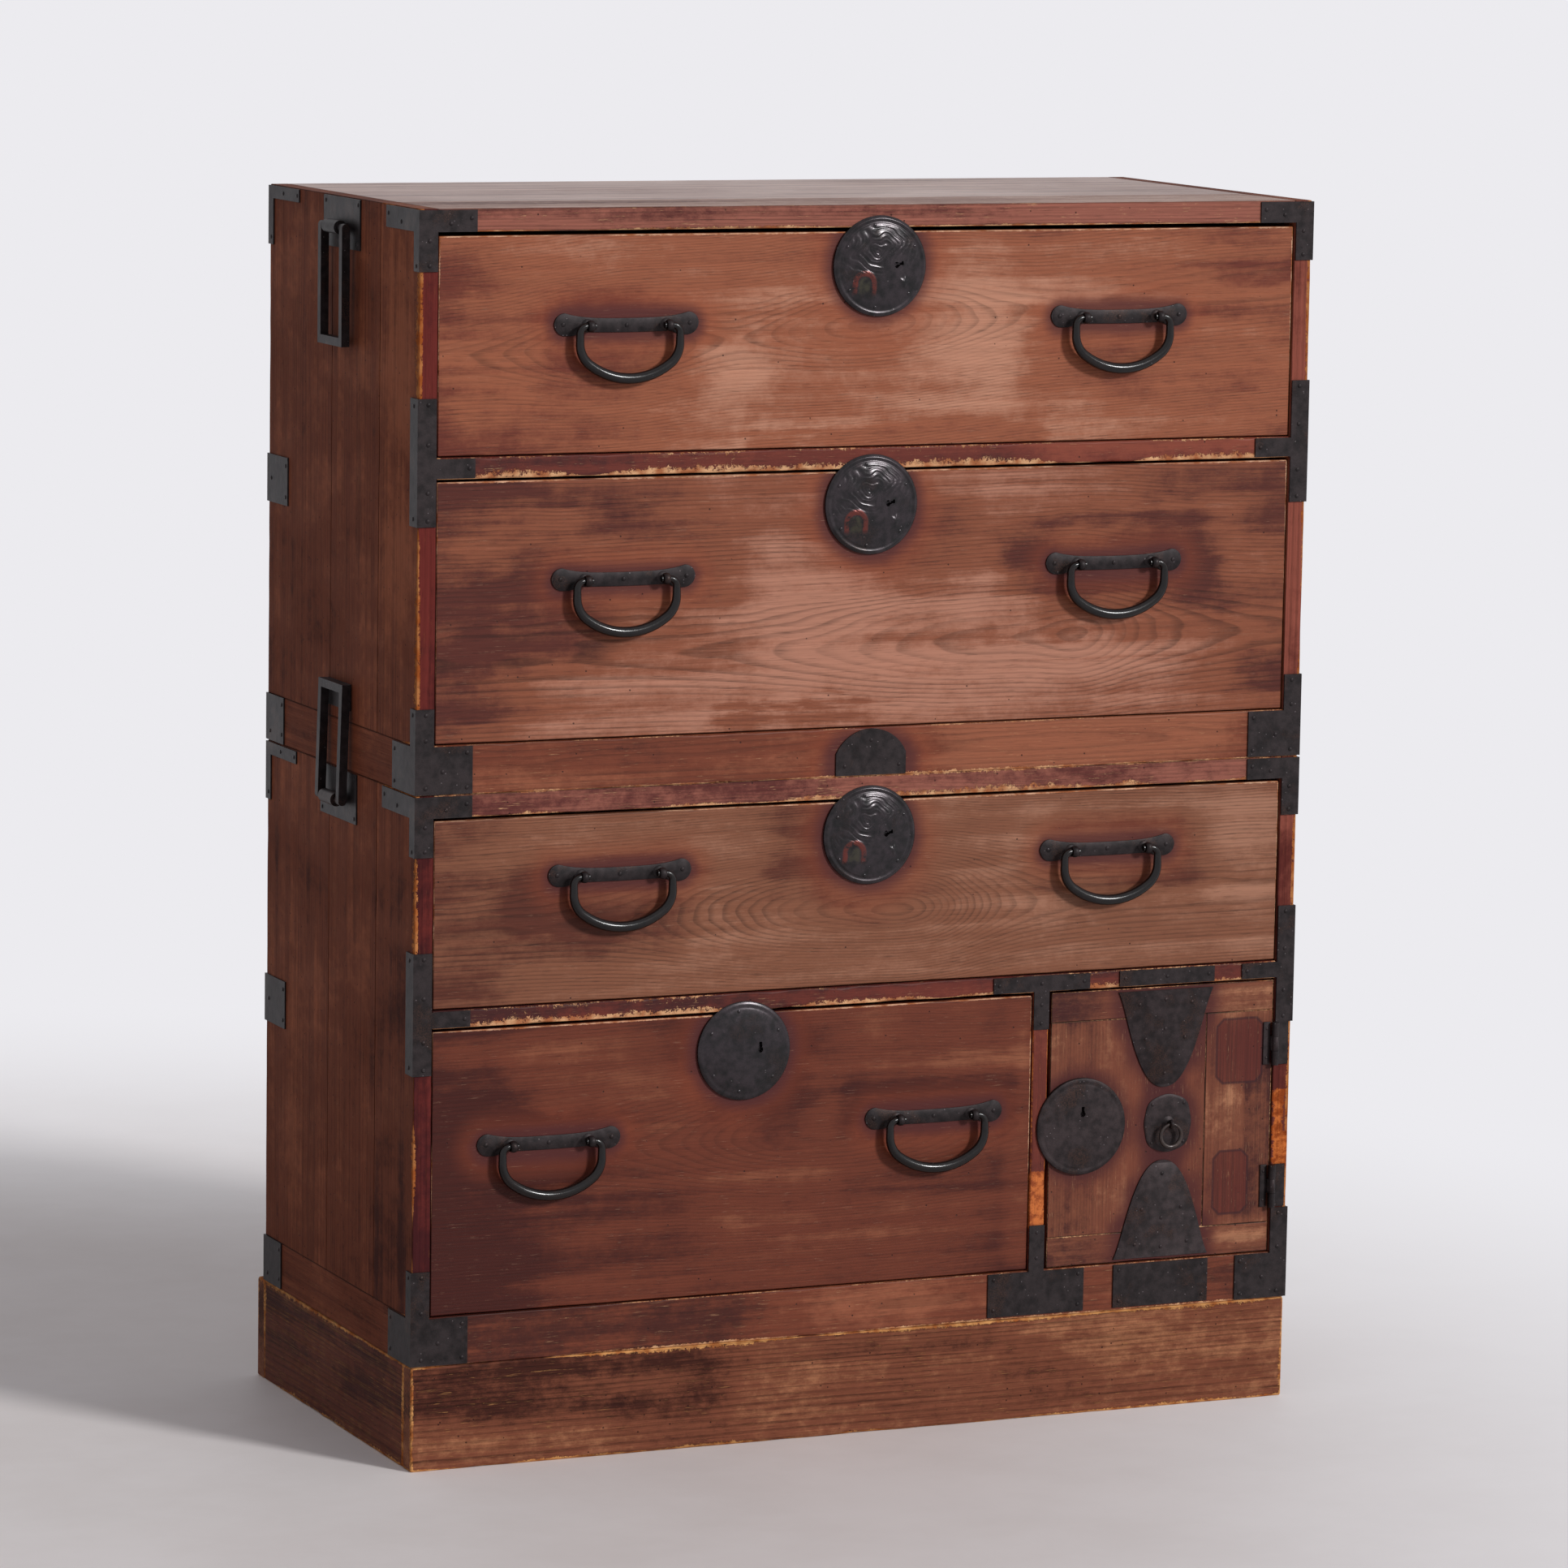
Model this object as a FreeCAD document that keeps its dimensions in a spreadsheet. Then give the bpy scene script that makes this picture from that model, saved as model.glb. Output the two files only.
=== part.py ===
"""A two-section Japanese clothing chest (isho-dansu) on its plinth, in millimetres.

X runs to the right as one faces the drawers, Y runs from the front to the rear and Z runs up.
The origin lies on the floor, under the middle of the plinth's brace.
"""
import FreeCAD, Part
import math
import os
import re
from collections import namedtuple

# Overall sizes of the two cases and the plinth
CASE_SIZES = {
    "case_width": 910,
    "case_depth": 404,
    "upper_case_height": 536,
    "lower_case_height": 534,
    "plinth_height": 99,
    "plinth_rear_reach": 22,
    "plinth_board_thick": 21,
    "brace_width": 60,
    "brace_height": 30,
}

# Boards that make up the cases
BOARD_SIZES = {
    "side_thick": 18,
    "top_thick": 21,
    "base_height": 46,
    "base_thick": 18,
    "back_thick": 8,
    "shelf_thick": 9,
    "rail_depth": 50,
    "upper_rail_thick": 20,
    "upper_rail_rise": 290,
    "lower_rail_thick": 17,
    "lower_rail_rise": 317,
    "divider_thick": 16,
    "cupboard_width": 244,
    "filler_thick": 24,
    "setback": 24,
    "cut_overrun": 5,
}

# Drawers, large and small
DRAWER_SIZES = {
    "front_recess": 1.5,
    "front_thick": 18,
    "side_gap": 1,
    "foot_gap": 1,
    "slide_clear": 0.3,
    "tray_inset": 0.5,
    "tray_wall": 9,
    "tray_bottom": 7,
    "tray_drop": 12,
    "rear_gap": 9,
    "drawer_1_gap": 4,
    "drawer_2_gap": 2.5,
    "drawer_3_gap": 3,
    "drawer_4_gap": 3,
    "small_front_thick": 12,
    "small_wall": 6,
    "small_gap": 1.5,
    "small_drop": 6,
    "knob_radius": 7,
    "knob_reach": 9,
}

# Drawer handles: back plate, two eye posts and the bail that hangs in them
HANDLE_SIZES = {
    "plate_reach": 61,
    "plate_end_radius": 10.5,
    "plate_neck": 13,
    "plate_thick": 1.5,
    "post_place": 39,
    "post_width": 6,
    "post_radius": 5.5,
    "post_neck_radius": 2.4,
    "pull_stand": 10,
    "pin_radius": 3,
    "pin_clear": 0.06,
    "pin_overhang": 2,
    "bail_radius": 4.5,
    "bail_half_width": 49.5,
    "bail_elbow": 7,
    "bail_leg": 9,
    "bail_corner": 24,
    "bail_sag": 32.5,
}

# Round lock plates and the bolts behind them
LOCK_SIZES = {
    "disc_radius": 47,
    "disc_thick": 2.5,
    "face_clear": 0.3,
    "lock_1_offset": 1.5,
    "lock_2_offset": -3,
    "lock_3_offset": 1,
    "lock_4_offset": 5.5,
    "lock_1_drop": 32,
    "lock_2_drop": 31,
    "lock_3_drop": 32,
    "lock_4_drop": 35,
    "bolt_width": 12,
    "bolt_thick": 4,
    "bolt_length": 34,
    "bolt_clear": 0.3,
    "bolt_sunk": 1,
    "mortise_depth": 9,
}

# Cupboard door at the lower right
DOOR_SIZES = {
    "door_thick": 18,
    "door_left_gap": 4,
    "door_right_gap": 0.8,
    "door_top_gap": 2,
    "door_cleat": 29,
    "door_seam": 72,
    "door_lock_inset": 32.5,
    "door_lock_rise": 138,
    "bell_width": 102,
    "bell_height": 95,
    "bell_margin": 3,
    "bell_offset": 2.4,
    "ring_plate_width": 50,
    "ring_plate_height": 56,
    "ring_clear": 22.5,
    "ring_rise": 135,
    "ring_radius": 11,
    "ring_wire": 1.9,
    "ring_stand": 7,
    "ring_eye_radius": 4.6,
    "ring_eye_bore": 2.6,
    "ring_eye_width": 3,
    "ring_neck_radius": 2.2,
    "hinge_length": 42,
    "hinge_leaf": 15,
    "hinge_door_leaf": 11,
    "hinge_radius": 3.5,
    "hinge_pin": 1.6,
    "hinge_clear": 0.06,
    "hinge_gap": 0.3,
    "hinge_top_rise": 207,
    "hinge_low_rise": 66,
}

# Pole loops on the sides, by which each case is carried
LOOP_SIZES = {
    "loop_drop": 28,
    "loop_stand": 9,
    "loop_bar": 8,
    "loop_opening": 49,
    "loop_length": 110,
    "loop_lean": 1.6,
    "loop_pin_radius": 3.5,
    "loop_pin_clear": 0.08,
    "knuckle_radius": 6.5,
    "knuckle_length": 34,
    "web_height": 8,
    "bracket_width": 97,
    "bracket_height": 47,
    "strike_rise": 57,
    "strike_height": 25,
    "strike_width": 60,
}

# Iron straps and corner plates
IRON_SIZES = {
    "iron_thick": 1.5,
    "iron_margin": 1,
    "corner_arm": 55,
    "corner_drop": 57,
    "corner_side_arm": 84,
    "side_strip": 12,
    "strap_above": 54,
    "strap_below": 44,
    "strap_side": 18,
    "upper_foot_rise": 34,
    "lower_foot_rise": 44,
    "foot_side_arm": 58,
    "rear_arm": 84,
    "rear_strap": 56,
    "rear_strap_height": 46,
    "rear_strap_drop": 12,
    "rear_foot": 48,
    "tee_width": 102,
    "tee_leg": 36,
    "foot_tee_margin": 3,
    "patch_width": 102,
    "moon_width": 72,
    "moon_rise": 44,
    "moon_shoulder": 21,
}

# Where the handles sit on each drawer front: shares of its half width and of its height
HANDLE_SHARES = {
    "handle_side_share": 0.5767,
    "handle_4_left_share": 0.619,
    "handle_4_right_share": 0.6645,
    "handle_1_rise_share": 0.585,
    "handle_2_rise_share": 0.611,
    "handle_3_rise_share": 0.674,
    "handle_4_rise_share": 0.588,
}

SIZES = {**CASE_SIZES, **BOARD_SIZES, **DRAWER_SIZES, **HANDLE_SIZES, **LOCK_SIZES,
         **DOOR_SIZES, **LOOP_SIZES, **IRON_SIZES, **HANDLE_SHARES}

# Places worked out from the sizes, each written once and used by every piece that meets there
PLACES = {
    "front": "-case_depth / 2",
    "rear": "case_depth / 2",
    "half": "case_width / 2",
    "inner": "half - side_thick",
    "back_face": "rear - back_thick",
    "plinth_rear": "rear + plinth_rear_reach",
    "upper_floor": "plinth_height + lower_case_height",
    "crown": "upper_floor + upper_case_height",
    "upper_base": "upper_floor + base_height",
    "lower_base": "plinth_height + base_height",
    "upper_lid": "crown - top_thick",
    "lower_lid": "upper_floor - top_thick",
    "upper_rail": "upper_floor + upper_rail_rise",
    "upper_rail_top": "upper_rail + upper_rail_thick",
    "lower_rail": "plinth_height + lower_rail_rise",
    "lower_rail_top": "lower_rail + lower_rail_thick",
    "rail_rear": "front + rail_depth",
    "divider_right": "inner - cupboard_width",
    "divider_left": "divider_right - divider_thick",
    "divider_middle": "(divider_left + divider_right) / 2",
    "bay_4_middle": "(divider_left - inner) / 2",
    "bay_4_half": "(divider_left + inner) / 2",
    "drawer_face": "front + front_recess",
    "drawer_rear": "drawer_face + front_thick",
    "tray_rear": "back_face - rear_gap",
    "disc_back": "front - face_clear",
    "disc_face": "disc_back - disc_thick",
    "pull_axis": "drawer_face - pull_stand",
    "bolt_axis": "drawer_face + front_thick / 2",
    "cupboard_face": "drawer_face + door_thick + setback",
    "cupboard_right": "inner - filler_thick",
    "cupboard_bay": "(lower_rail - lower_base - 2 * shelf_thick) / 3",
    "door_left": "divider_right + door_left_gap",
    "door_right": "inner - door_right_gap",
    "door_foot": "lower_base + foot_gap",
    "door_top": "lower_rail - door_top_gap",
    "door_lock": "door_left + door_lock_inset",
    "door_lock_height": "lower_base + door_lock_rise",
    "bell_place": "(door_left + door_right) / 2 + bell_offset",
    "ring_place": "door_lock + disc_radius + ring_clear + ring_plate_width / 2",
    "hinge_x": "inner",
    "hinge_y": "front - hinge_radius - hinge_gap",
    "ring_axis": "drawer_face - iron_thick - ring_stand",
    "ring_height": "lower_base + ring_rise",
    "loop_axis": "half + loop_stand",
    "upper_pivot": "crown - loop_drop",
    "lower_pivot": "upper_floor - loop_drop",
    "moon_foot": "upper_floor + iron_margin",
    "moon_arch": "moon_rise - moon_shoulder",
    "moon_radius": "(moon_width * moon_width / 4 + moon_arch * moon_arch) / (2 * moon_arch)",
}

# The space for each wide drawer, the places of its handles and lock, and its share for height
HANDLE_PLACES = ("-handle_side_share * inner", "handle_side_share * inner")
HANDLE_4_PLACES = ("bay_4_middle - handle_4_left_share * bay_4_half",
                   "bay_4_middle + handle_4_right_share * bay_4_half")
Bay = namedtuple("Bay", "number body floor ceiling left right gap handles rise_share lock drop")
BAYS = [
    Bay(1, "upper", "upper_rail_top", "upper_lid", "-inner", "inner", "drawer_1_gap",
        HANDLE_PLACES, "handle_1_rise_share", "lock_1_offset", "lock_1_drop"),
    Bay(2, "upper", "upper_base", "upper_rail", "-inner", "inner", "drawer_2_gap",
        HANDLE_PLACES, "handle_2_rise_share", "lock_2_offset", "lock_2_drop"),
    Bay(3, "lower", "lower_rail_top", "lower_lid", "-inner", "inner", "drawer_3_gap",
        HANDLE_PLACES, "handle_3_rise_share", "lock_3_offset", "lock_3_drop"),
    Bay(4, "lower", "lower_base", "lower_rail", "-inner", "divider_left", "drawer_4_gap",
        HANDLE_4_PLACES, "handle_4_rise_share", "(bay_4_middle + lock_4_offset)", "lock_4_drop"),
]

SIDES = {"left": -1, "right": 1}
ALONG_X = FreeCAD.Rotation(FreeCAD.Vector(0, 1, 0), 90)
ALONG_Y = FreeCAD.Rotation(FreeCAD.Vector(1, 0, 0), -90)
ALONG_Z = FreeCAD.Rotation()

doc = FreeCAD.newDocument("Chest")
sheet = doc.addObject("Spreadsheet::Sheet", "Sizes")
for row, (alias, value) in enumerate(SIZES.items(), 1):
    sheet.set(f"A{row}", alias)
    sheet.set(f"B{row}", str(value))
    sheet.setAlias(f"B{row}", alias)
doc.recompute()


def expand(text):
    """Writes places as sums of sizes, and sizes as cells of the sheet."""
    def swap(match):
        word = match.group(0)
        if word in PLACES:
            return f"({expand(PLACES[word])})"
        return f"Sizes.{word}" if word in SIZES else word
    return re.sub(r"[a-z]\w*", swap, text)


def value(text):
    """The number that an expression of sizes and places comes to."""
    return float(sheet.evalExpression(expand(text)))


def bind(thing, prop, text):
    """Ties one property of an object to the sheet."""
    thing.setExpression(prop, expand(text))


def mirrored(side, near, far):
    """The low and high place of a span that lies between two distances from the middle."""
    return (near, far) if side > 0 else (f"-({far})", f"-({near})")


def box(name, x, y, z):
    """A block between a low and a high place along each axis."""
    block = doc.addObject("Part::Box", name)
    for size, axis, (low, high) in zip(("Length", "Width", "Height"), "xyz", (x, y, z)):
        bind(block, size, f"{high} - ({low})")
        bind(block, f"Placement.Base.{axis}", low)
    return block


def rod(name, radius, length, start, turn):
    """A cylinder that starts at a place and runs along one axis."""
    cylinder = doc.addObject("Part::Cylinder", name)
    bind(cylinder, "Radius", radius)
    bind(cylinder, "Height", length)
    cylinder.Placement = FreeCAD.Placement(FreeCAD.Vector(), turn)
    for axis, place in zip("xyz", start):
        bind(cylinder, f"Placement.Base.{axis}", place)
    return cylinder


def fuse(name, things):
    """Joins solids into one piece."""
    joined = doc.addObject("Part::MultiFuse", name)
    joined.Shapes = things
    joined.Refine = True
    return joined


def cut(name, base, tools):
    """Takes one or more tools away from a solid."""
    tool = tools[0]
    if len(tools) > 1:
        tool = doc.addObject("Part::Compound", f"{name}_tools")
        tool.Links = tools
    pierced = doc.addObject("Part::Cut", name)
    pierced.Base = base
    pierced.Tool = tool
    return pierced


def node(label, solids):
    """Names a sub-part: one solid, or separate solids that belong together."""
    part = solids[0]
    if len(solids) > 1:
        part = doc.addObject("Part::Compound", f"{label}_group")
        part.Links = solids
    part.Label = label
    NODES.append(part)
    return part


NODES = []


def make_plinth():
    """Four boards on edge and a brace across the middle, which carry the lower case."""
    width = ("-half", "half")
    inside = ("front + plinth_board_thick", "plinth_rear - plinth_board_thick")
    height = ("0", "plinth_height")
    node("plinth_front", [box("plinth_front_board", width, ("front", inside[0]), height)])
    node("plinth_rear", [box("plinth_rear_board", width, (inside[1], "plinth_rear"), height)])
    node("plinth_ends", [
        box(f"plinth_{word}_board", mirrored(side, "half - plinth_board_thick", "half"),
            inside, height)
        for word, side in SIDES.items()])
    node("plinth_brace", [box("brace", ("-brace_width / 2", "brace_width / 2"), inside,
                              ("0", "brace_height"))])


def bolt_mortise(name, bay):
    """The pocket above a drawer in which its lock bolt engages."""
    reach_x = "(bolt_width / 2 + 2 * bolt_clear)"
    reach_y = "(bolt_thick / 2 + 2 * bolt_clear)"
    return box(name, (f"{bay.lock} - {reach_x}", f"{bay.lock} + {reach_x}"),
               (f"bolt_axis - {reach_y}", f"bolt_axis + {reach_y}"),
               (f"{bay.ceiling} - mortise_depth", f"{bay.ceiling} + mortise_depth"))


def make_case(name, floor, base_top, lid, top, rail, rail_top):
    """The boards shared by both cases: base, sides, top, rail, shelf, bottom and back."""
    bays = [bay for bay in BAYS if bay.body == name]
    width = ("-inner", "inner")
    depth = ("front", "rear")
    node(f"{name}_base_boards", [
        box(f"{name}_base_front", ("-half", "half"), ("front", "front + base_thick"),
            (floor, base_top))] + [
        box(f"{name}_base_{word}", mirrored(side, "inner", "half"),
            ("front + base_thick", "rear"), (floor, base_top))
        for word, side in SIDES.items()])
    for word, side in SIDES.items():
        node(f"{name}_{word}_side", [
            box(f"{name}_{word}_board", mirrored(side, "inner", "half"), depth, (base_top, top))])
    node(f"{name}_top", [cut(f"{name}_top_board",
                             box(f"{name}_top_blank", width, depth, (lid, top)),
                             [bolt_mortise(f"{name}_top_mortise", bays[0])])])
    node(f"{name}_mid_rail", [cut(f"{name}_rail_board",
                                  box(f"{name}_rail_blank", width, ("front", "rail_rear"),
                                      (rail, rail_top)),
                                  [bolt_mortise(f"{name}_rail_mortise", bays[1])])])
    node(f"{name}_shelf", [box(f"{name}_shelf_board", width, ("rail_rear", "back_face"),
                               (f"{rail_top} - shelf_thick", rail_top))])
    node(f"{name}_bottom", [box(f"{name}_bottom_board", width,
                                ("front + base_thick", "back_face"),
                                (f"{base_top} - shelf_thick", base_top))])
    node(f"{name}_back", [box(f"{name}_back_board", width, ("back_face", "rear"),
                              (floor, lid))])


def make_partition():
    """The upright between the wide lower drawer and the cupboard: a stile and the panel behind."""
    across = ("divider_left", "divider_right")
    reach = "(bolt_width / 2 + 2 * bolt_clear)"
    slack = "(bolt_thick / 2 + 2 * bolt_clear)"
    mortise = box("stile_mortise",
                  ("divider_right - mortise_depth", "divider_right + mortise_depth"),
                  (f"bolt_axis - {slack}", f"bolt_axis + {slack}"),
                  (f"door_lock_height - {reach}", f"door_lock_height + {reach}"))
    node("lower_partition", [
        cut("divider_stile", box("stile_blank", across, ("front", "rail_rear"),
                                 ("lower_base", "lower_rail")), [mortise]),
        box("divider_panel", across, ("rail_rear", "back_face"),
            ("lower_base", "lower_rail_top - shelf_thick"))])


def small_floor(number):
    """The floor of one of the cupboard's bays, counted from the lowest."""
    return f"(lower_base + {number} * (cupboard_bay + shelf_thick))"


def make_cupboard():
    """Shelves and a filler behind the door, and the small drawers that run between them."""
    right = "cupboard_right"
    rear = "back_face"
    shelf_front = "rail_rear"
    shelves = [
        box(f"cupboard_shelf_{number}", ("divider_right", right), (shelf_front, rear),
            (f"{small_floor(number)} - shelf_thick", small_floor(number)))
        for number in (1, 2)]
    filler = box("cupboard_filler", (right, "inner"), ("cupboard_face", rear),
                 ("lower_base", "lower_rail_top - shelf_thick"))
    filler_notch = box("filler_notch", (right, "inner + side_gap"), ("front", "rail_rear"),
                       ("lower_rail", "lower_rail_top"))
    node("cupboard_frame", shelves + [cut("filler_board", filler, [filler_notch])])
    left_face = "divider_right + side_gap"
    right_face = "cupboard_right - side_gap"
    left_wall = f"{left_face} + tray_inset"
    right_wall = f"{right_face} - tray_inset"
    for number in range(3):
        name = f"small_drawer_{number + 1}"
        floor = small_floor(number)
        top = f"{floor} + cupboard_bay - small_gap"
        face_rear = "cupboard_face + small_front_thick"
        wall_low = f"{floor} + slide_clear + small_wall"
        wall_top = f"{top} - small_drop"
        knob_height = f"({floor} + cupboard_bay / 2)"
        knob = rod(f"{name}_knob", "knob_radius", "knob_reach",
                   (f"({left_face} + {right_face}) / 2", "cupboard_face - knob_reach",
                    knob_height), ALONG_Y)
        node(name, [
            box(f"{name}_front", (left_face, right_face), ("cupboard_face", face_rear),
                (f"{floor} + foot_gap", top)),
            box(f"{name}_bottom", (left_wall, right_wall), (face_rear, "tray_rear"),
                (f"{floor} + slide_clear", wall_low)),
            box(f"{name}_left_wall", (left_wall, f"{left_wall} + small_wall"),
                (face_rear, "tray_rear"), (wall_low, wall_top)),
            box(f"{name}_right_wall", (f"{right_wall} - small_wall", right_wall),
                (face_rear, "tray_rear"), (wall_low, wall_top)),
            box(f"{name}_rear_wall",
                (f"{left_wall} + small_wall", f"{right_wall} - small_wall"),
                ("tray_rear - small_wall", "tray_rear"), (wall_low, wall_top)),
            knob])


def front_span(bay):
    """The lowest and highest place of a wide drawer's front."""
    return f"({bay.floor} + foot_gap)", f"({bay.ceiling} - {bay.gap})"


def handle_height(bay):
    """The height of the handles' pivots on a wide drawer."""
    foot, top = front_span(bay)
    return f"({foot} + {bay.rise_share} * ({top} - {foot}))"


def make_drawer(bay):
    """A wide drawer: its front with the lock bolt's slot, and the tray behind it."""
    name = f"drawer_{bay.number}"
    left = f"{bay.left} + side_gap"
    right = f"{bay.right} - side_gap"
    foot, top = front_span(bay)
    slot_x = "(bolt_width / 2 + bolt_clear)"
    slot_y = "(bolt_thick / 2 + bolt_clear)"
    slot = box(f"{name}_slot", (f"{bay.lock} - {slot_x}", f"{bay.lock} + {slot_x}"),
               (f"bolt_axis - {slot_y}", f"bolt_axis + {slot_y}"),
               (f"{top} - bolt_sunk - bolt_length - bolt_clear", f"{top} + bolt_sunk"))
    blank = box(f"{name}_blank", (left, right), ("drawer_face", "drawer_rear"), (foot, top))
    node(f"{name}_front", [cut(f"{name}_front_board", blank, [slot])])
    left_wall = f"{left} + tray_inset"
    right_wall = f"{right} - tray_inset"
    depth = ("drawer_rear", "tray_rear")
    wall_low = f"{bay.floor} + slide_clear + tray_bottom"
    height = (wall_low, f"{top} - tray_drop")
    node(f"{name}_tray", [
        box(f"{name}_bottom", (left_wall, right_wall), depth,
            (f"{bay.floor} + slide_clear", wall_low)),
        box(f"{name}_left_wall", (left_wall, f"{left_wall} + tray_wall"), depth, height),
        box(f"{name}_right_wall", (f"{right_wall} - tray_wall", right_wall), depth, height),
        box(f"{name}_rear_wall", (f"{left_wall} + tray_wall", f"{right_wall} - tray_wall"),
            ("tray_rear - tray_wall", "tray_rear"), height)])
    node(f"{name}_bolt", [
        box(f"{name}_lock_bolt", (f"{bay.lock} - bolt_width / 2", f"{bay.lock} + bolt_width / 2"),
            ("bolt_axis - bolt_thick / 2", "bolt_axis + bolt_thick / 2"),
            (f"{top} - bolt_sunk - bolt_length", f"{top} - bolt_sunk"))])


def lock_disc(name, place, height, relief_x, relief_z):
    """A round lock plate seated on its board and relieved where it laps over the next one."""
    disc = rod(f"{name}_blank", "disc_radius", "drawer_face - disc_face",
               (place, "disc_face", height), ALONG_Y)
    relief = box(f"{name}_relief", relief_x, ("disc_back", "drawer_face + face_clear"), relief_z)
    return cut(name, disc, [relief])


def eye_post(name, place, height):
    """A post that stands on a handle plate, with an eye for the bail's pin."""
    eye = rod(f"{name}_eye", "post_radius", "post_width",
              (f"{place} - post_width / 2", "pull_axis", height), ALONG_X)
    neck = rod(f"{name}_neck", "post_neck_radius", "pull_stand - plate_thick",
               (place, "pull_axis", height), ALONG_Y)
    bore = rod(f"{name}_bore", "pin_radius + pin_clear", "post_width + 2 * cut_overrun",
               (f"{place} - post_width / 2 - cut_overrun", "pull_axis", height), ALONG_X)
    return cut(name, fuse(f"{name}_blank", [eye, neck]), [bore])


def handle_plate(name, place, height):
    """The long back plate with a round at each end."""
    face = "drawer_face - plate_thick"
    ends = [rod(f"{name}_{word}_end", "plate_end_radius", "plate_thick",
                (f"{place} + {side} * plate_reach", face, height), ALONG_Y)
            for word, side in SIDES.items()]
    neck = box(f"{name}_neck", (f"{place} - plate_reach", f"{place} + plate_reach"),
               (face, "drawer_face"),
               (f"{height} - plate_neck / 2", f"{height} + plate_neck / 2"))
    return fuse(name, ends + [neck])


def bent_rod(start, heading, moves):
    """A round rod of straight and curved lengths in the plane across Y.

    Each move is a radius of the rod, a length or an angle, and the radius of the bend (zero for
    a straight length). Bends turn anticlockwise as one faces the chest.
    """
    normal = FreeCAD.Vector(0, -1, 0)
    pieces = []
    for thickness, amount, bend in moves:
        circle = Part.Wire(Part.makeCircle(thickness, start, heading))
        face = Part.Face(circle)
        if bend == 0:
            pieces.append(face.extrude(heading * amount))
            start = start + heading * amount
        else:
            centre = start + normal.cross(heading) * bend
            pieces.append(face.revolve(centre, normal, amount))
            turn = FreeCAD.Rotation(normal, amount)
            start = centre + turn.multVec(start - centre)
            heading = turn.multVec(heading)
    return pieces[0].multiFuse(pieces[1:]).removeSplitter()


def make_bail(name, place, height):
    """The D-shaped bail: a pin through each eye, an elbow, a leg and a sagging grip."""
    half, elbow, leg = value("bail_half_width"), value("bail_elbow"), value("bail_leg")
    corner, sag = value("bail_corner"), value("bail_sag")
    thin, thick = value("pin_radius"), value("bail_radius")
    pin_end = value("post_place - post_width / 2 - pin_overhang")
    pin = half - elbow - pin_end
    slope = math.degrees(2 * math.atan((sag - corner) / (half - corner)))
    corner_turn = 90 - slope
    grip = corner + (half - corner) / math.cos(math.radians(corner_turn))
    moves = [(thin, pin, 0), (thin, 90, elbow), (thick, leg, 0), (thick, corner_turn, corner),
             (thick, 2 * slope, grip), (thick, corner_turn, corner), (thick, leg, 0),
             (thin, 90, elbow), (thin, pin, 0)]
    bail = doc.addObject("Part::Feature", f"{name}_rod")
    bail.Shape = bent_rod(FreeCAD.Vector(-pin_end, 0, 0), FreeCAD.Vector(-1, 0, 0), moves)
    for axis, where in zip("xyz", (place, "pull_axis", height)):
        bind(bail, f"Placement.Base.{axis}", where)
    node(name, [bail])


def make_fittings(bay):
    """The iron on a wide drawer: lock plate, handle plates, eye posts and the two bails."""
    name = f"drawer_{bay.number}"
    top = front_span(bay)[1]
    height = handle_height(bay)
    centre = f"({top} - {bay.drop})"
    fittings = [lock_disc(f"{name}_disc", bay.lock, centre,
                          (f"{bay.lock} - disc_radius - cut_overrun",
                           f"{bay.lock} + disc_radius + cut_overrun"),
                          (f"{top} - face_clear", f"{top} + disc_radius"))]
    for word, place in zip(SIDES, bay.handles):
        fittings.append(handle_plate(f"{name}_{word}_plate", place, height))
        fittings.extend(
            eye_post(f"{name}_{word}_post_{number}", f"({place} + {side} * post_place)", height)
            for number, side in enumerate(SIDES.values(), 1))
        make_bail(f"{name}_{word}_bail", place, height)
    node(f"{name}_fittings", fittings)


def bell_plate(name, tip, way):
    """A plate with a parabola for its outline: the tip points to the ring, the wide end away."""
    half, tall, thick = value("bell_width / 2"), value("bell_height"), value("iron_thick")
    focus = FreeCAD.Vector(half ** 2 / (4 * tall), 0, 0)
    curve = Part.Parabola(focus, FreeCAD.Vector(), FreeCAD.Vector(0, 0, 1))
    side = Part.ArcOfParabola(curve, -half, half)
    chord = Part.LineSegment(side.EndPoint, side.StartPoint)
    outline = Part.Wire([side.toShape(), chord.toShape()])
    bell = doc.addObject("Part::Feature", name)
    bell.Shape = Part.Face(outline).extrude(FreeCAD.Vector(0, 0, thick))
    turn = FreeCAD.Rotation(FreeCAD.Vector(0, 0, way), FreeCAD.Vector(way, 0, 0),
                            FreeCAD.Vector(0, 1, 0), "XYZ")
    bell.Placement = FreeCAD.Placement(FreeCAD.Vector(), turn)
    for axis, place in zip("xyz", ("bell_place", "drawer_face - iron_thick", tip)):
        bind(bell, f"Placement.Base.{axis}", place)
    return bell


def hinge_span(rise, low_share, high_share):
    """Part of a hinge's height, as shares of its length from its lower end."""
    low = f"(lower_base + {rise} - hinge_length / 2)"
    return (f"{low} + {low_share} * hinge_length", f"{low} + {high_share} * hinge_length")


def knuckle(name, rise, low_share, high_share, radius):
    """A round length along the hinge's axis."""
    low, high = hinge_span(rise, low_share, high_share)
    return rod(name, radius, f"{high} - ({low})", ("hinge_x", "hinge_y", low), ALONG_Z)


THIRD_SHARE = "1 / 3"
TWO_THIRD_SHARE = "2 / 3"
HINGE_RISES = {"top": "hinge_top_rise", "low": "hinge_low_rise"}


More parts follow.
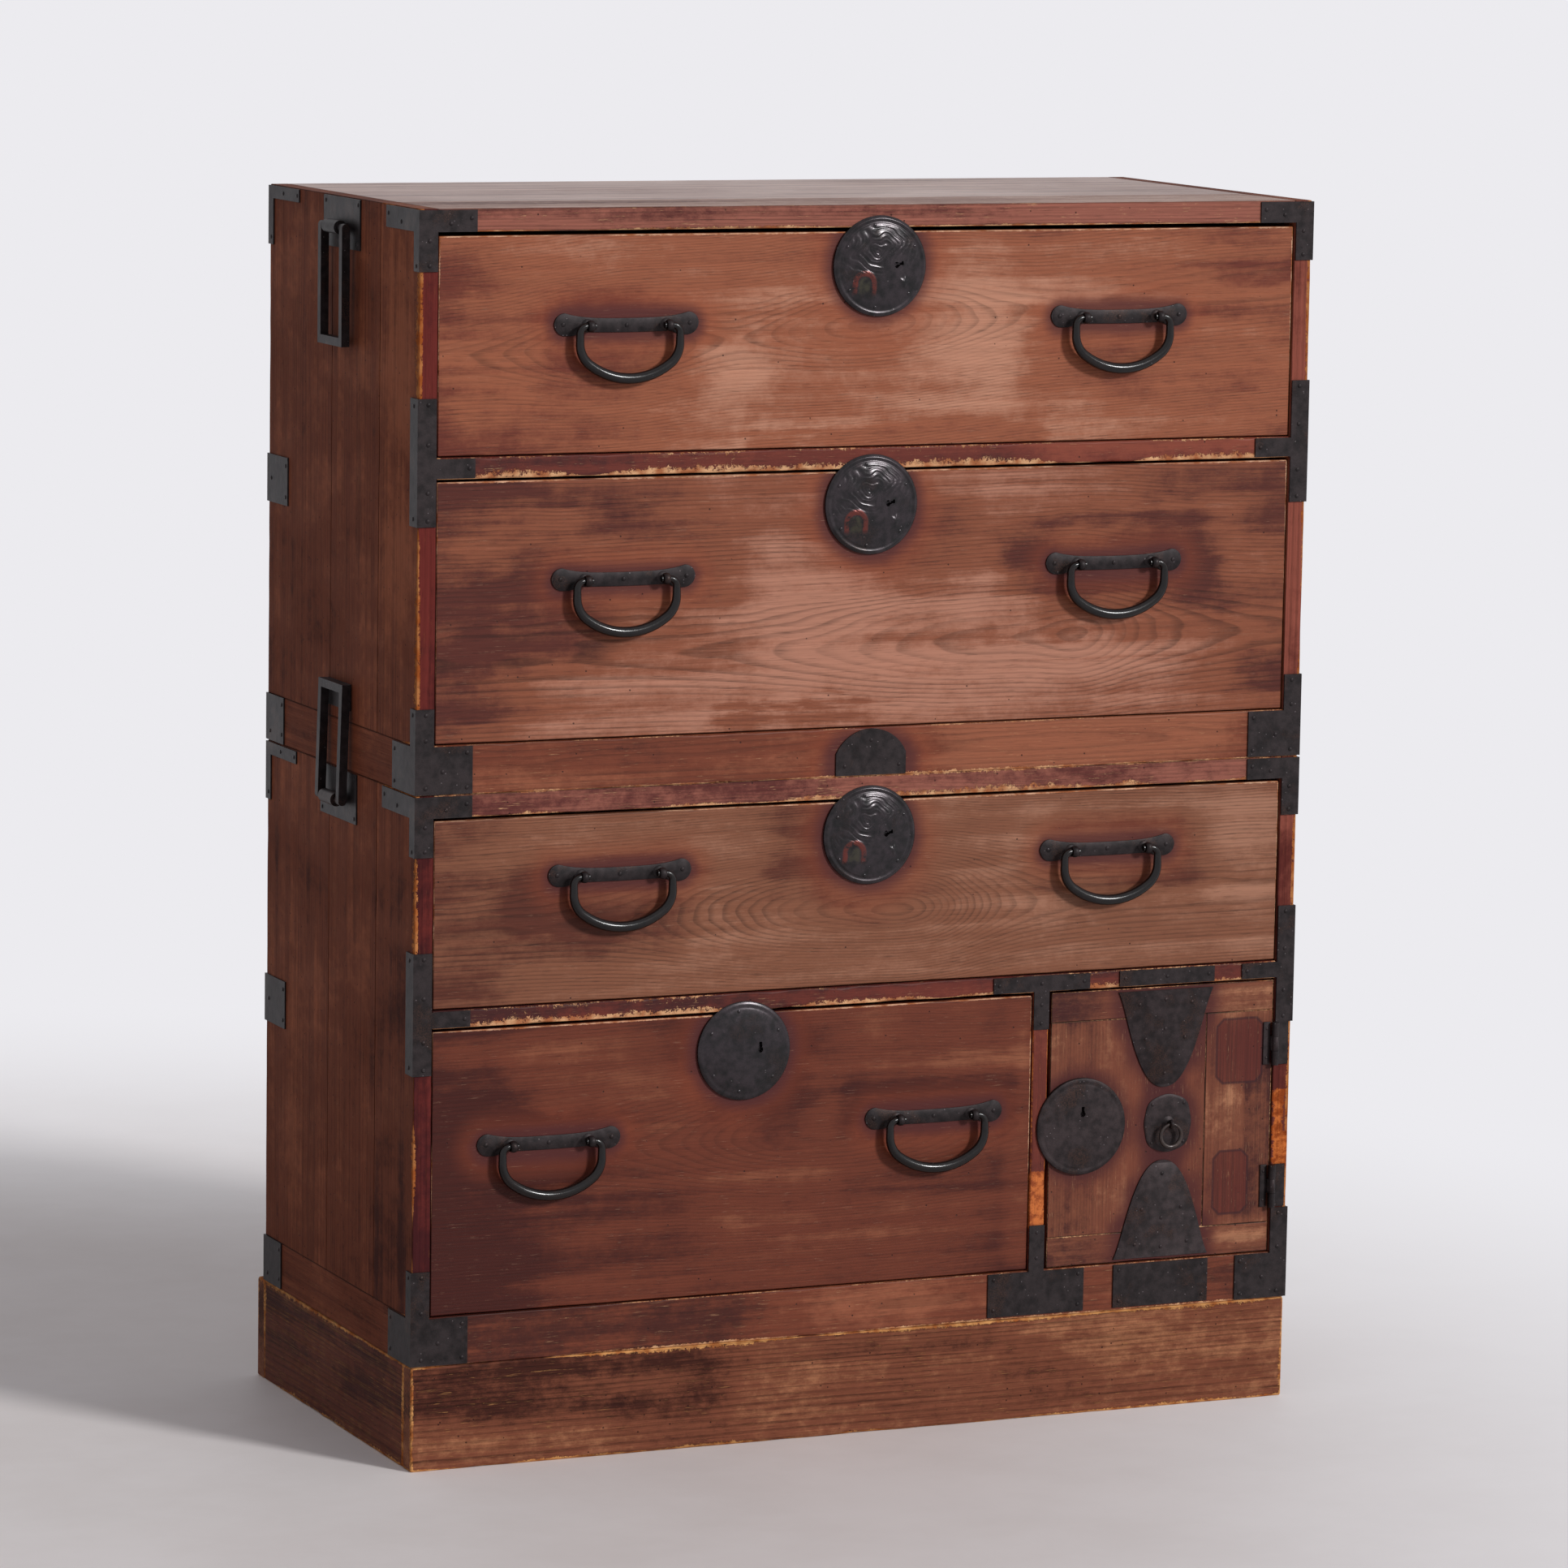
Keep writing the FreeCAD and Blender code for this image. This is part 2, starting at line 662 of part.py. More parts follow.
def door_hinge_leaf(name, rise):
    """The leaf on the door, with the middle knuckle bored for the pin."""
    clear = "(hinge_radius + hinge_gap)"
    leaf = box(f"{name}_leaf", ("hinge_x - hinge_door_leaf", f"hinge_x - {clear}"),
               ("drawer_face - iron_thick", "drawer_face"), hinge_span(rise, 0, 1))
    middle = hinge_span(rise, THIRD_SHARE, TWO_THIRD_SHARE)
    web = box(f"{name}_web", (f"hinge_x - {clear}", "door_right"),
              ("hinge_y", "drawer_face"), middle)
    barrel = knuckle(f"{name}_barrel", rise, THIRD_SHARE, TWO_THIRD_SHARE, "hinge_radius")
    bore = knuckle(f"{name}_bore", rise, 0, 1, "hinge_pin + hinge_clear")
    return cut(name, fuse(f"{name}_blank", [leaf, web, barrel]), [bore])


def stile_hinge_leaf(name, rise):
    """The leaf on the stile, with the two outer knuckles and the riveted pin."""
    clear = "(hinge_radius + hinge_gap)"
    face = ("front - iron_thick", "front")
    pieces = [
        box(f"{name}_leaf", (f"hinge_x + {clear}", "hinge_x + hinge_leaf"), face,
            hinge_span(rise, 0, 1)),
        knuckle(f"{name}_pin", rise, 0, 1, "hinge_pin")]
    for word, low, high in (("low", 0, THIRD_SHARE), ("top", TWO_THIRD_SHARE, 1)):
        span_low, span_high = hinge_span(rise, low, high)
        inner_low = f"{span_low} + hinge_clear" if low else span_low
        inner_high = span_high if low else f"{span_high} - hinge_clear"
        pieces.append(box(f"{name}_{word}_web", ("hinge_x", f"hinge_x + {clear}"), face,
                          (inner_low, inner_high)))
        pieces.append(rod(f"{name}_{word}_knuckle", "hinge_radius",
                          f"{inner_high} - ({inner_low})", ("hinge_x", "hinge_y", inner_low),
                          ALONG_Z))
    return fuse(name, pieces)


def make_door():
    """The cupboard door: boards between two cleats, its irons, ring pull and lock bolt."""
    seam = "door_right - door_seam"
    depth = ("drawer_face", "drawer_face + door_thick")
    middle = ("door_foot + door_cleat", "door_top - door_cleat")
    slot_y = "(bolt_thick / 2 + bolt_clear)"
    slot_z = "(bolt_width / 2 + bolt_clear)"
    slot = box("door_slot",
               ("door_left - bolt_sunk", "door_left + bolt_sunk + bolt_length + bolt_clear"),
               (f"bolt_axis - {slot_y}", f"bolt_axis + {slot_y}"),
               (f"door_lock_height - {slot_z}", f"door_lock_height + {slot_z}"))
    width = ("door_left", "door_right")
    node("door_boards", [
        cut("door_wide_board", box("door_wide_blank", ("door_left", seam), depth, middle), [slot]),
        box("door_narrow_board", (seam, "door_right"), depth, middle),
        box("door_low_cleat", width, depth, ("door_foot", middle[0])),
        box("door_top_cleat", width, depth, (middle[1], "door_top"))])
    node("door_bolt", [
        box("door_lock_bolt",
            ("door_left + bolt_sunk", "door_left + bolt_sunk + bolt_length"),
            ("bolt_axis - bolt_thick / 2", "bolt_axis + bolt_thick / 2"),
            ("door_lock_height - bolt_width / 2", "door_lock_height + bolt_width / 2"))])
    disc = lock_disc("door_disc", "door_lock", "door_lock_height",
                     ("door_lock - disc_radius - cut_overrun", "door_left + face_clear"),
                     ("door_lock_height - disc_radius - cut_overrun",
                      "door_lock_height + disc_radius + cut_overrun"))
    ring_face = ("drawer_face - iron_thick", "drawer_face")
    ring_plate = box("ring_plate",
                     ("ring_place - ring_plate_width / 2", "ring_place + ring_plate_width / 2"),
                     ring_face,
                     ("ring_height - ring_plate_height / 2", "ring_height + ring_plate_height / 2"))
    eye = rod("ring_eye", "ring_eye_radius", "ring_eye_width",
              ("ring_place - ring_eye_width / 2", "ring_axis", "ring_height"), ALONG_X)
    neck = rod("ring_neck", "ring_neck_radius", "ring_stand - ring_eye_bore",
               ("ring_place", "ring_axis + ring_eye_bore", "ring_height"), ALONG_Y)
    bore = rod("ring_bore", "ring_eye_bore", "ring_eye_width + 2 * cut_overrun",
               ("ring_place - ring_eye_width / 2 - cut_overrun", "ring_axis", "ring_height"),
               ALONG_X)
    post = cut("ring_post", fuse("ring_post_blank", [eye, neck]), [bore])
    leaves = [door_hinge_leaf(f"door_{word}_hinge", rise) for word, rise in HINGE_RISES.items()]
    node("door_irons", [
        disc, ring_plate, post,
        bell_plate("top_bell", "door_top - bell_margin - bell_height", 1),
        bell_plate("low_bell", "door_foot + bell_margin + bell_height", -1)] + leaves)
    ring = doc.addObject("Part::Torus", "pull_ring")
    bind(ring, "Radius1", "ring_radius")
    bind(ring, "Radius2", "ring_wire")
    ring.Placement = FreeCAD.Placement(FreeCAD.Vector(), ALONG_Y)
    for axis, place in zip("xyz", ("ring_place", "ring_axis", "ring_height - ring_radius")):
        bind(ring, f"Placement.Base.{axis}", place)
    node("door_ring", [ring])
    node("stile_hinges", [
        stile_hinge_leaf(f"stile_{word}_hinge", rise) for word, rise in HINGE_RISES.items()])


def make_loop(name, side, pivot, raised):
    """A pole loop: two bars, a cross bar and the pin that turns in its bracket."""
    bar_x = ("-loop_bar / 2", "loop_bar / 2")
    pieces = [
        box(f"{name}_cross_bar", bar_x, ("-loop_opening / 2", "loop_opening / 2"),
            ("-loop_length", "loop_bar - loop_length")),
        rod(f"{name}_pin", "loop_pin_radius", "loop_opening",
            ("0", "-loop_opening / 2", "0"), ALONG_Y)]
    for word, way in (("front", -1), ("rear", 1)):
        span = mirrored(way, "loop_opening / 2", "loop_opening / 2 + loop_bar")
        pieces.append(box(f"{name}_{word}_bar", bar_x, span, ("-loop_length", "0")))
        pieces.append(rod(f"{name}_{word}_end", "loop_bar / 2", "loop_bar",
                          ("0", span[0], "0"), ALONG_Y))
    loop = fuse(f"{name}_bars", pieces)
    loop.Placement = FreeCAD.Placement(FreeCAD.Vector(),
                                       FreeCAD.Rotation(FreeCAD.Vector(0, 1, 0), 180))
    angle = f"180 - {side} * loop_lean" if raised else "0"
    bind(loop, "Placement.Rotation.Angle", angle)
    bind(loop, "Placement.Base.x", f"{side} * loop_axis")
    bind(loop, "Placement.Base.z", pivot)
    node(name, [loop])


def loop_bracket(name, side, pivot, top):
    """The side plate that carries a pole loop, with the barrel for its pin."""
    plate = box(f"{name}_plate", mirrored(side, "half", "half + iron_thick"),
                ("-bracket_width / 2", "bracket_width / 2"),
                (f"{top} - iron_margin - bracket_height", f"{top} - iron_margin"))
    barrel = rod(f"{name}_barrel", "knuckle_radius", "knuckle_length",
                 (f"{side} * loop_axis", "-knuckle_length / 2", pivot), ALONG_Y)
    web = box(f"{name}_web", mirrored(side, "half", "loop_axis"),
              ("-knuckle_length / 2", "knuckle_length / 2"),
              (f"{pivot} - web_height / 2", f"{pivot} + web_height / 2"))
    bore = rod(f"{name}_bore", "loop_pin_radius + loop_pin_clear",
               "knuckle_length + 2 * cut_overrun",
               (f"{side} * loop_axis", "-knuckle_length / 2 - cut_overrun", pivot), ALONG_Y)
    return cut(name, fuse(f"{name}_blank", [plate, barrel, web]), [bore])


def wrap_iron(name, side, arm, leg, side_arm, side_leg):
    """An iron on the front corner: an arm and a leg on the front, and both again on the side.

    The arm and leg are spans in height; the last two are how far each reaches along the side.
    """
    face = ("front - iron_thick", "front")
    skin = mirrored(side, "half", "half + iron_thick")
    return fuse(name, [
        box(f"{name}_arm", mirrored(side, "half - corner_arm", "half + iron_thick"), face, arm),
        box(f"{name}_leg", mirrored(side, "inner + iron_margin", "half + iron_thick"), face, leg),
        box(f"{name}_side_arm", skin, ("front", f"front + {side_arm}"), arm),
        box(f"{name}_side_leg", skin, ("front", f"front + {side_leg}"), leg)])


def rear_iron(name, side, reach, height):
    """A flat iron on the side that laps round the rear edge."""
    return fuse(name, [
        box(f"{name}_flat", mirrored(side, "half", "half + iron_thick"),
            (f"rear - {reach}", "rear"), height),
        box(f"{name}_lap", mirrored(side, "half - side_strip", "half + iron_thick"),
            ("rear", "rear + iron_thick"), height)])


def make_irons(name, floor, base_top, top, rail, rail_top, pivot, foot_rise):
    """The iron straps, corner plates and loop brackets nailed to one case."""
    irons = []
    for word, side in SIDES.items():
        tag = f"{name}_{word}"
        crown_arm = (f"{top} - top_thick", f"{top} - iron_margin")
        irons += [
            wrap_iron(f"{tag}_crown", side, crown_arm, (f"{top} - corner_drop", crown_arm[0]),
                      "corner_side_arm", "side_strip"),
            wrap_iron(f"{tag}_foot", side, (f"{floor} + iron_margin", f"{base_top} - iron_margin"),
                      (f"{base_top} - iron_margin", f"{base_top} + {foot_rise}"),
                      "foot_side_arm", "side_strip"),
            wrap_iron(f"{tag}_strap", side,
                      (f"{rail} + iron_margin", f"{rail_top} - iron_margin"),
                      (f"{rail} + iron_margin - strap_below", f"{rail_top} + strap_above"),
                      "strap_side", "strap_side"),
            rear_iron(f"{tag}_rear_crown", side, "rear_arm",
                      (f"{top} - iron_margin - side_strip", f"{top} - iron_margin")),
            rear_iron(f"{tag}_rear_strip", side, "side_strip",
                      (f"{top} - corner_drop", f"{top} - iron_margin - side_strip")),
            rear_iron(f"{tag}_rear_strap", side, "rear_strap",
                      (f"{rail} - rear_strap_drop - rear_strap_height",
                       f"{rail} - rear_strap_drop")),
            rear_iron(f"{tag}_rear_foot", side, "rear_foot",
                      (f"{floor} + iron_margin", base_top)),
            loop_bracket(f"{tag}_bracket", side, pivot, top)]
    return irons


def front_plate(name, x, z):
    """A flat iron on the front of a rail."""
    return box(name, x, ("front - iron_thick", "front"), z)


def upper_extras():
    """The arched plate on the upper base, and the plates on which the lower loops lean."""
    moon = doc.addObject("Part::Common", "moon_plate")
    moon.Base = rod("moon_disc", "moon_radius", "iron_thick",
                    ("lock_3_offset", "front", "moon_foot + moon_rise - moon_radius"),
                    FreeCAD.Rotation(FreeCAD.Vector(1, 0, 0), 90))
    moon.Tool = front_plate(
        "moon_blank", ("lock_3_offset - moon_width / 2", "lock_3_offset + moon_width / 2"),
        ("moon_foot", "moon_foot + moon_rise"))
    strikes = [
        box(f"{word}_strike", mirrored(side, "half", "half + iron_thick"),
            ("-strike_width / 2", "strike_width / 2"),
            ("upper_floor + strike_rise", "upper_floor + strike_rise + strike_height"))
        for word, side in SIDES.items()]
    return [moon] + strikes


def lower_extras():
    """The tees at both ends of the divider and the patches beside them."""
    tee = ("divider_middle - tee_width / 2", "divider_middle + tee_width / 2")
    patch = ("bell_place - patch_width / 2", "bell_place + patch_width / 2")
    leg = ("divider_left", "divider_right")
    rail = ("lower_rail + iron_margin", "lower_rail_top - iron_margin")
    foot = ("plinth_height + foot_tee_margin", "lower_base - iron_margin")
    return [
        fuse("rail_tee", [front_plate("rail_tee_arm", tee, rail),
                          front_plate("rail_tee_leg", leg, ("lower_rail - tee_leg", rail[0]))]),
        fuse("foot_tee", [front_plate("foot_tee_arm", tee, foot),
                          front_plate("foot_tee_leg", leg,
                                      (foot[1], "lower_base + lower_foot_rise"))]),
        front_plate("rail_patch", patch, rail),
        front_plate("foot_patch", patch, foot)]


def check_and_export():
    """Stops at a failed feature or an empty or broken shape, then writes every sub-part."""
    doc.recompute()
    for thing in doc.Objects:
        if "Invalid" in thing.State or "Error" in thing.State:
            raise RuntimeError(f"{thing.Label}: {thing.State}")
    os.makedirs("parts", exist_ok=True)
    for part in NODES:
        if part.Shape.isNull() or not part.Shape.isValid():
            raise RuntimeError(f"{part.Label} has no valid shape")
        part.Shape.exportStep(f"parts/{part.Label}.step")
        print(part.Label, len(part.Shape.Solids), "solids", round(part.Shape.Volume))


make_plinth()
make_case("lower", "plinth_height", "lower_base", "lower_lid", "upper_floor", "lower_rail",
          "lower_rail_top")
make_case("upper", "upper_floor", "upper_base", "upper_lid", "crown", "upper_rail",
          "upper_rail_top")
make_partition()
make_cupboard()
for wide_bay in BAYS:
    make_drawer(wide_bay)
    make_fittings(wide_bay)
make_door()
for loop_word, loop_side in SIDES.items():
    make_loop(f"upper_{loop_word}_loop", loop_side, "upper_pivot", False)
    make_loop(f"lower_{loop_word}_loop", loop_side, "lower_pivot", True)
node("upper_irons", make_irons("upper", "upper_floor", "upper_base", "crown", "upper_rail",
                               "upper_rail_top", "upper_pivot", "upper_foot_rise")
     + upper_extras())
node("lower_irons", make_irons("lower", "plinth_height", "lower_base", "upper_floor",
                               "lower_rail", "lower_rail_top", "lower_pivot",
                               "lower_foot_rise") + lower_extras())
check_and_export()
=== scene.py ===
"""Looks of the two-section clothing chest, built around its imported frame, in metres.

X runs to the right as one faces the drawers, Y runs from the front to the rear and Z runs up.
"""

import logging
import math
from dataclasses import dataclass, field, replace
from enum import Enum
from types import SimpleNamespace
from typing import Iterable, Sequence, Union

import bpy
import numpy as np
from mathutils import Matrix, Vector


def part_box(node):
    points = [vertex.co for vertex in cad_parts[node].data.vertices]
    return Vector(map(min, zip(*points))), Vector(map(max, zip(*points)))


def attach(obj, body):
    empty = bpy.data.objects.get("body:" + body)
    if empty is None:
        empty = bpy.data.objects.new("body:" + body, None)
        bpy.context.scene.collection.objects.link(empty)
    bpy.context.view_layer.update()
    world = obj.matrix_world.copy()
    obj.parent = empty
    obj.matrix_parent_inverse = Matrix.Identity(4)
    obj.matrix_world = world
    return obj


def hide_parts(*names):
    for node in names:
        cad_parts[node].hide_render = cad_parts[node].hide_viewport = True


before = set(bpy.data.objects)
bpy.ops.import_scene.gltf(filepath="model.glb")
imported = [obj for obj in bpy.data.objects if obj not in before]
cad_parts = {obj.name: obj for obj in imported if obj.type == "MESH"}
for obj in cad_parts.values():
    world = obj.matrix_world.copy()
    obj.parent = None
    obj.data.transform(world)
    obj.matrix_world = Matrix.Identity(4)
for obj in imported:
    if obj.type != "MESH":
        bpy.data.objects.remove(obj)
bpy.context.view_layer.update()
MM = 0.001
MORTISE_DEPTH = 9 * MM
MORTISE_CLEAR = 0.6 * MM
SLOT_CLEAR = 0.3 * MM
PLATE_LAP = 1.8 * MM
LAP_GAP = 0.3 * MM
PIN_CLEAR = 0.06 * MM
SHEET_EASE = 0.5 * MM
LOG = logging.getLogger("chest")
Colour = tuple[float, float, float, float]


def tone(red: int, green: int, blue: int) -> Colour:
    """Turns a colour as it looks on a screen, 0 to 255, into the light it stands for.

    Args:
        red, green, blue: The three values.

    Returns:
        The linear colour, opaque.
    """
    screen = np.array([red, green, blue]) / 255.0
    light = np.where(screen <= 0.04045, screen / 12.92, ((screen + 0.055) / 1.055) ** 2.4)
    return (*(float(value) for value in light), 1.0)


class Axis(Enum):
    """The three directions of a board: along its grain, across its face and through it."""

    LEVEL_FRONT = (0, 2, 1)
    UPRIGHT_SIDE = (2, 1, 0)
    LEVEL_SIDE = (1, 2, 0)
    LEVEL_TOP = (0, 1, 2)
    UPRIGHT_FRONT = (2, 0, 1)
    DEEP_TOP = (1, 0, 2)


class Wire:
    """One value in a material, so that a pattern can be written as a sum."""

    def __init__(self, graph: "Graph", socket: bpy.types.NodeSocket) -> None:
        """Keeps the material's graph and the socket that gives the value."""
        self.graph = graph
        self.socket = socket

    def _math(self, operation: str, *others: "Term") -> "Wire":
        """Joins this value and others by one step of arithmetic."""
        return self.graph.math(operation, self, *others)

    def __add__(self, other: "Term") -> "Wire":
        """Sum."""
        return self._math("ADD", other)

    def __sub__(self, other: "Term") -> "Wire":
        """Difference."""
        return self._math("SUBTRACT", other)

    def __rsub__(self, other: "Term") -> "Wire":
        """Difference from a number."""
        return self.graph.math("SUBTRACT", other, self)

    def __mul__(self, other: "Term") -> "Wire":
        """Product."""
        return self._math("MULTIPLY", other)

    def __truediv__(self, other: "Term") -> "Wire":
        """Quotient."""
        return self._math("DIVIDE", other)

    __radd__ = __add__
    __rmul__ = __mul__

    def size(self) -> "Wire":
        """The value without its sign."""
        return self._math("ABSOLUTE")

    def root(self) -> "Wire":
        """The square root."""
        return self._math("SQRT")

    def least(self, other: "Term") -> "Wire":
        """The smaller of two values."""
        return self._math("MINIMUM", other)

    def most(self, other: "Term") -> "Wire":
        """The larger of two values."""
        return self._math("MAXIMUM", other)

    def part(self) -> "Wire":
        """What is left over after the whole numbers."""
        return self._math("FRACT")

    def rise(self, low: float, high: float, bottom: float = 0.0, top: float = 1.0) -> "Wire":
        """A smooth step from bottom to top as the value goes from low to high.

        Args:
            low, high: Where the step starts and ends.
            bottom, top: What it starts and ends with.

        Returns:
            The step.
        """
        node = self.graph.add("ShaderNodeMapRange", (self, low, high, bottom, top),
                              interpolation_type="SMOOTHSTEP")
        return Wire(self.graph, node.outputs[0])

    def fall(self, low: float, high: float) -> "Wire":
        """A smooth step from one to nothing as the value goes from low to high."""
        return self.rise(low, high, 1.0, 0.0)


Term = Union[Wire, float]


class Graph:
    """A node tree that patterns are written into."""

    def __init__(self, tree: bpy.types.NodeTree) -> None:
        """Keeps the tree."""
        self.tree = tree

    def add(self, kind: str, inputs: Iterable[object] = (), **settings: object) -> bpy.types.Node:
        """Adds one node.

        Args:
            kind: The node's type.
            inputs: Its inputs in order, each a value, a wire or None to leave it.
            settings: Its other settings.

        Returns:
            The node.
        """
        node = self.tree.nodes.new(kind)
        for key, value in settings.items():
            setattr(node, key, value)
        for socket, value in zip(node.inputs, inputs):
            self.put(socket, value)
        return node

    def put(self, socket: bpy.types.NodeSocket, value: object) -> None:
        """Gives a socket a wire or a plain value.

        Args:
            socket: A node's input.
            value: The wire or value, or None to leave the input as it is.
        """
        if isinstance(value, Wire):
            self.tree.links.new(value.socket, socket)
        elif value is not None:
            socket.default_value = value

    def math(self, operation: str, *terms: Term) -> Wire:
        """One step of arithmetic."""
        return Wire(self, self.add("ShaderNodeMath", terms, operation=operation).outputs[0])

    def split(self, socket: bpy.types.NodeSocket) -> tuple[Wire, Wire, Wire]:
        """The three parts of a vector."""
        node = self.add("ShaderNodeSeparateXYZ", (Wire(self, socket),))
        return tuple(Wire(self, output) for output in node.outputs)

    def attribute(self, name: str) -> tuple[Wire, Wire, Wire]:
        """The three parts of a value that the piece's points carry."""
        return self.split(self.add("ShaderNodeAttribute", attribute_name=name).outputs["Vector"])

    def place(self) -> tuple[Wire, Wire, Wire]:
        """Where a point lies, in the frame's own directions."""
        return self.split(self.add("ShaderNodeTexCoord").outputs["Object"])

    def join(self, *parts: Term) -> Wire:
        """A vector of three parts."""
        return Wire(self, self.add("ShaderNodeCombineXYZ", parts).outputs[0])

    def noise(self, x: Term, y: Term, z: Term, detail: float = 2.0, rough: float = 0.5) -> Wire:
        """A cloudy pattern about one unit across, between nothing and one.

        Args:
            x, y, z: Where the point lies, in units.
            detail: How many finer patterns lie over the first.
            rough: How strong each finer pattern is.

        Returns:
            The pattern.
        """
        node = self.add("ShaderNodeTexNoise", (self.join(x, y, z),))
        node.inputs["Scale"].default_value = 1.0
        node.inputs["Detail"].default_value = detail
        node.inputs["Roughness"].default_value = rough
        return Wire(self, node.outputs[0])

    def cloudy(self, place: Sequence[Wire], pattern: "Pattern") -> Wire:
        """A named cloudy pattern at a place."""
        spot = (part * scale for part, scale in zip(place, np.broadcast_to(pattern.scale, 3)))
        return self.noise(*spot, pattern.detail, pattern.rough)

    def dots(self, x: Term, y: Term, z: Term, share: float, radius: float) -> Wire:
        """Scattered dots, one to a unit at the most.

        Args:
            x, y, z: Where the point lies, in units.
            share: The share of the units that have a dot.
            radius: The dots' radius in units.

        Returns:
            One inside a dot and nothing elsewhere.
        """
        node = self.add("ShaderNodeTexVoronoi", (self.join(x, y, z),))
        node.inputs["Scale"].default_value = 1.0
        chance = self.split(node.outputs["Color"])[0]
        spot = Wire(self, node.outputs["Distance"]).fall(0.5 * radius, radius)
        return spot * chance.fall(share, share + 0.02)

    def blend(self, factor: Term, first: object, second: object) -> Wire:
        """A colour between two others.

        Args:
            factor: The share of the second colour.
            first, second: The colours.

        Returns:
            The mixed colour.
        """
        node = self.add("ShaderNodeMix", data_type="RGBA")
        for socket, value in zip((node.inputs[0], node.inputs[6], node.inputs[7]),
                                 (factor, first, second)):
            self.put(socket, value)
        return Wire(self, node.outputs[2])

    def shade(self, colour: Wire, amount: Term) -> Wire:
        """A colour made lighter or darker by a factor.

        Args:
            colour: The colour.
            amount: The factor.

        Returns:
            The shaded colour.
        """
        node = self.add("ShaderNodeVectorMath", (colour,), operation="SCALE")
        self.put(node.inputs["Scale"], amount)
        return Wire(self, node.outputs[0])


class Surface(Graph):
    """The node tree of one material, with a plain shader at its end."""

    def __init__(self, name: str) -> None:
        """Makes the material with its shader and output.

        Args:
            name: The material's name.
        """
        self.material = bpy.data.materials.new(name)
        self.material.use_nodes = True
        super().__init__(self.material.node_tree)
        self.tree.nodes.clear()
        self.shader = self.tree.nodes.new("ShaderNodeBsdfPrincipled")
        self.output = self.tree.nodes.new("ShaderNodeOutputMaterial")
        self.tree.links.new(self.shader.outputs[0], self.output.inputs[0])

    def finish(self, colour: object, roughness: Term, height: Wire, metal: float = 0.0,
               coat: float = 0.0, shine: float = 0.5) -> None:
        """Sends the patterns to the shader.

        Args:
            colour: The surface's colour.
            roughness: How matt the surface is.
            height: How far the surface stands out, in metres.
            metal: The share of bare metal in the surface.
            coat: The strength of a clear coat.
            shine: How strongly a surface that isn't metal mirrors.
        """
        bump = self.add("ShaderNodeBump")
        bump.inputs["Distance"].default_value = 1.0
        self.put(bump.inputs["Height"], height)
        self.put(self.shader.inputs["Base Color"], colour)
        self.put(self.shader.inputs["Roughness"], roughness)
        self.tree.links.new(bump.outputs[0], self.shader.inputs["Normal"])
        self.shader.inputs["Metallic"].default_value = metal
        self.shader.inputs["Specular IOR Level"].default_value = shine
        self.shader.inputs["Coat Weight"].default_value = coat
        self.shader.inputs["Coat Roughness"].default_value = 0.22


@dataclass(frozen=True)
class Pattern:
    """A cloudy pattern: how many of its units go to a metre, and how fine and rough it is."""

    scale: Union[float, tuple[float, float, float]]
    detail: float = 2.0
    rough: float = 0.5


FIBRE = Pattern((8.0, 640.0, 640.0), 4.0, 0.7)
PORES = Pattern((55.0, 900.0, 900.0), 1.0)
STREAK = Pattern((1.6, 55.0, 55.0), 4.0, 0.6)
RUBBED = Pattern((34.0, 800.0, 800.0), 3.0, 0.75)
WANDER = Pattern((4.0, 16.0, 16.0), 3.0)
GRIME = Pattern((55.0, 55.0, 75.0), 5.0, 0.75)
BARE = Pattern(70.0, 4.0)
RAGGED = Pattern(260.0, 6.0, 0.8)
PATCHY = Pattern(8.0)
DIRT = Pattern(7.0, 4.0, 0.65)
BROAD = Pattern(24.0, 4.0, 0.6)
HAMMER = Pattern(130.0)
GRIT = Pattern(900.0, 3.0, 0.7)


@dataclass(frozen=True)
class Blot:
    """An uneven patch round a short line: darker, or faded where it is negative. It stands for
    bloomed lacquer, and on the drawers also for painted sheen and painted shade.
    """

    x: float
    z: float
    half_x: float = 0.0
    half_z: float = 0.0
    radius: float = 0.0
    spread: float = 0.03
    amount: float = 0.6


def blot_rows(*rows: tuple[float, ...]) -> tuple[Blot, ...]:
    """Patches from rows that give x, z, half_x, half_z, radius, spread and amount: bloomed lacquer,
    and painted sheen and shade.
    """
    return tuple(Blot(*row) for row in rows)


@dataclass(frozen=True)
class Patch:
    """A rectangle of the front where the wood shows another colour."""

    low_x: float
    high_x: float
    low_z: float
    high_z: float

    def gaps(self, x: Wire, z: Wire) -> tuple[Wire, Wire]:
        """How far a place lies inside the patch, across and up."""
        return (x - self.low_x).least(self.high_x - x), (z - self.low_z).least(self.high_z - z)


@dataclass(frozen=True)
class Figure:
    """A flame in a board's grain, where the cut runs level with the growth rings."""

    along: float
    reach: float
    swell: float


@dataclass(frozen=True)
class Grain:
    """How a board was cut from its log."""

    ring: float = 0.003
    vein: float = 0.3
    fibre: float = 0.7
    tilt: float = 0.0
    wander: float = 1.0
    figures: tuple[Figure, ...] = ()


@dataclass(frozen=True)
class Wear:
    """How far the lacquer has gone from a board's edges.

    The lean is one where all the wear is at the board's low edge and minus one where all of it
    is at the high edge; the line is the width of the thin strip that is bare everywhere. Wear
    starts at the distance beyond from the chest's middle plane.
    """

    width: float = 0.0
    line: float = 0.0004
    lean: float = 0.0
    seam: float = 0.5
    beyond: float = 0.0
    bare: Colour = tone(208, 160, 118)
    raw: Colour = tone(158, 94, 58)


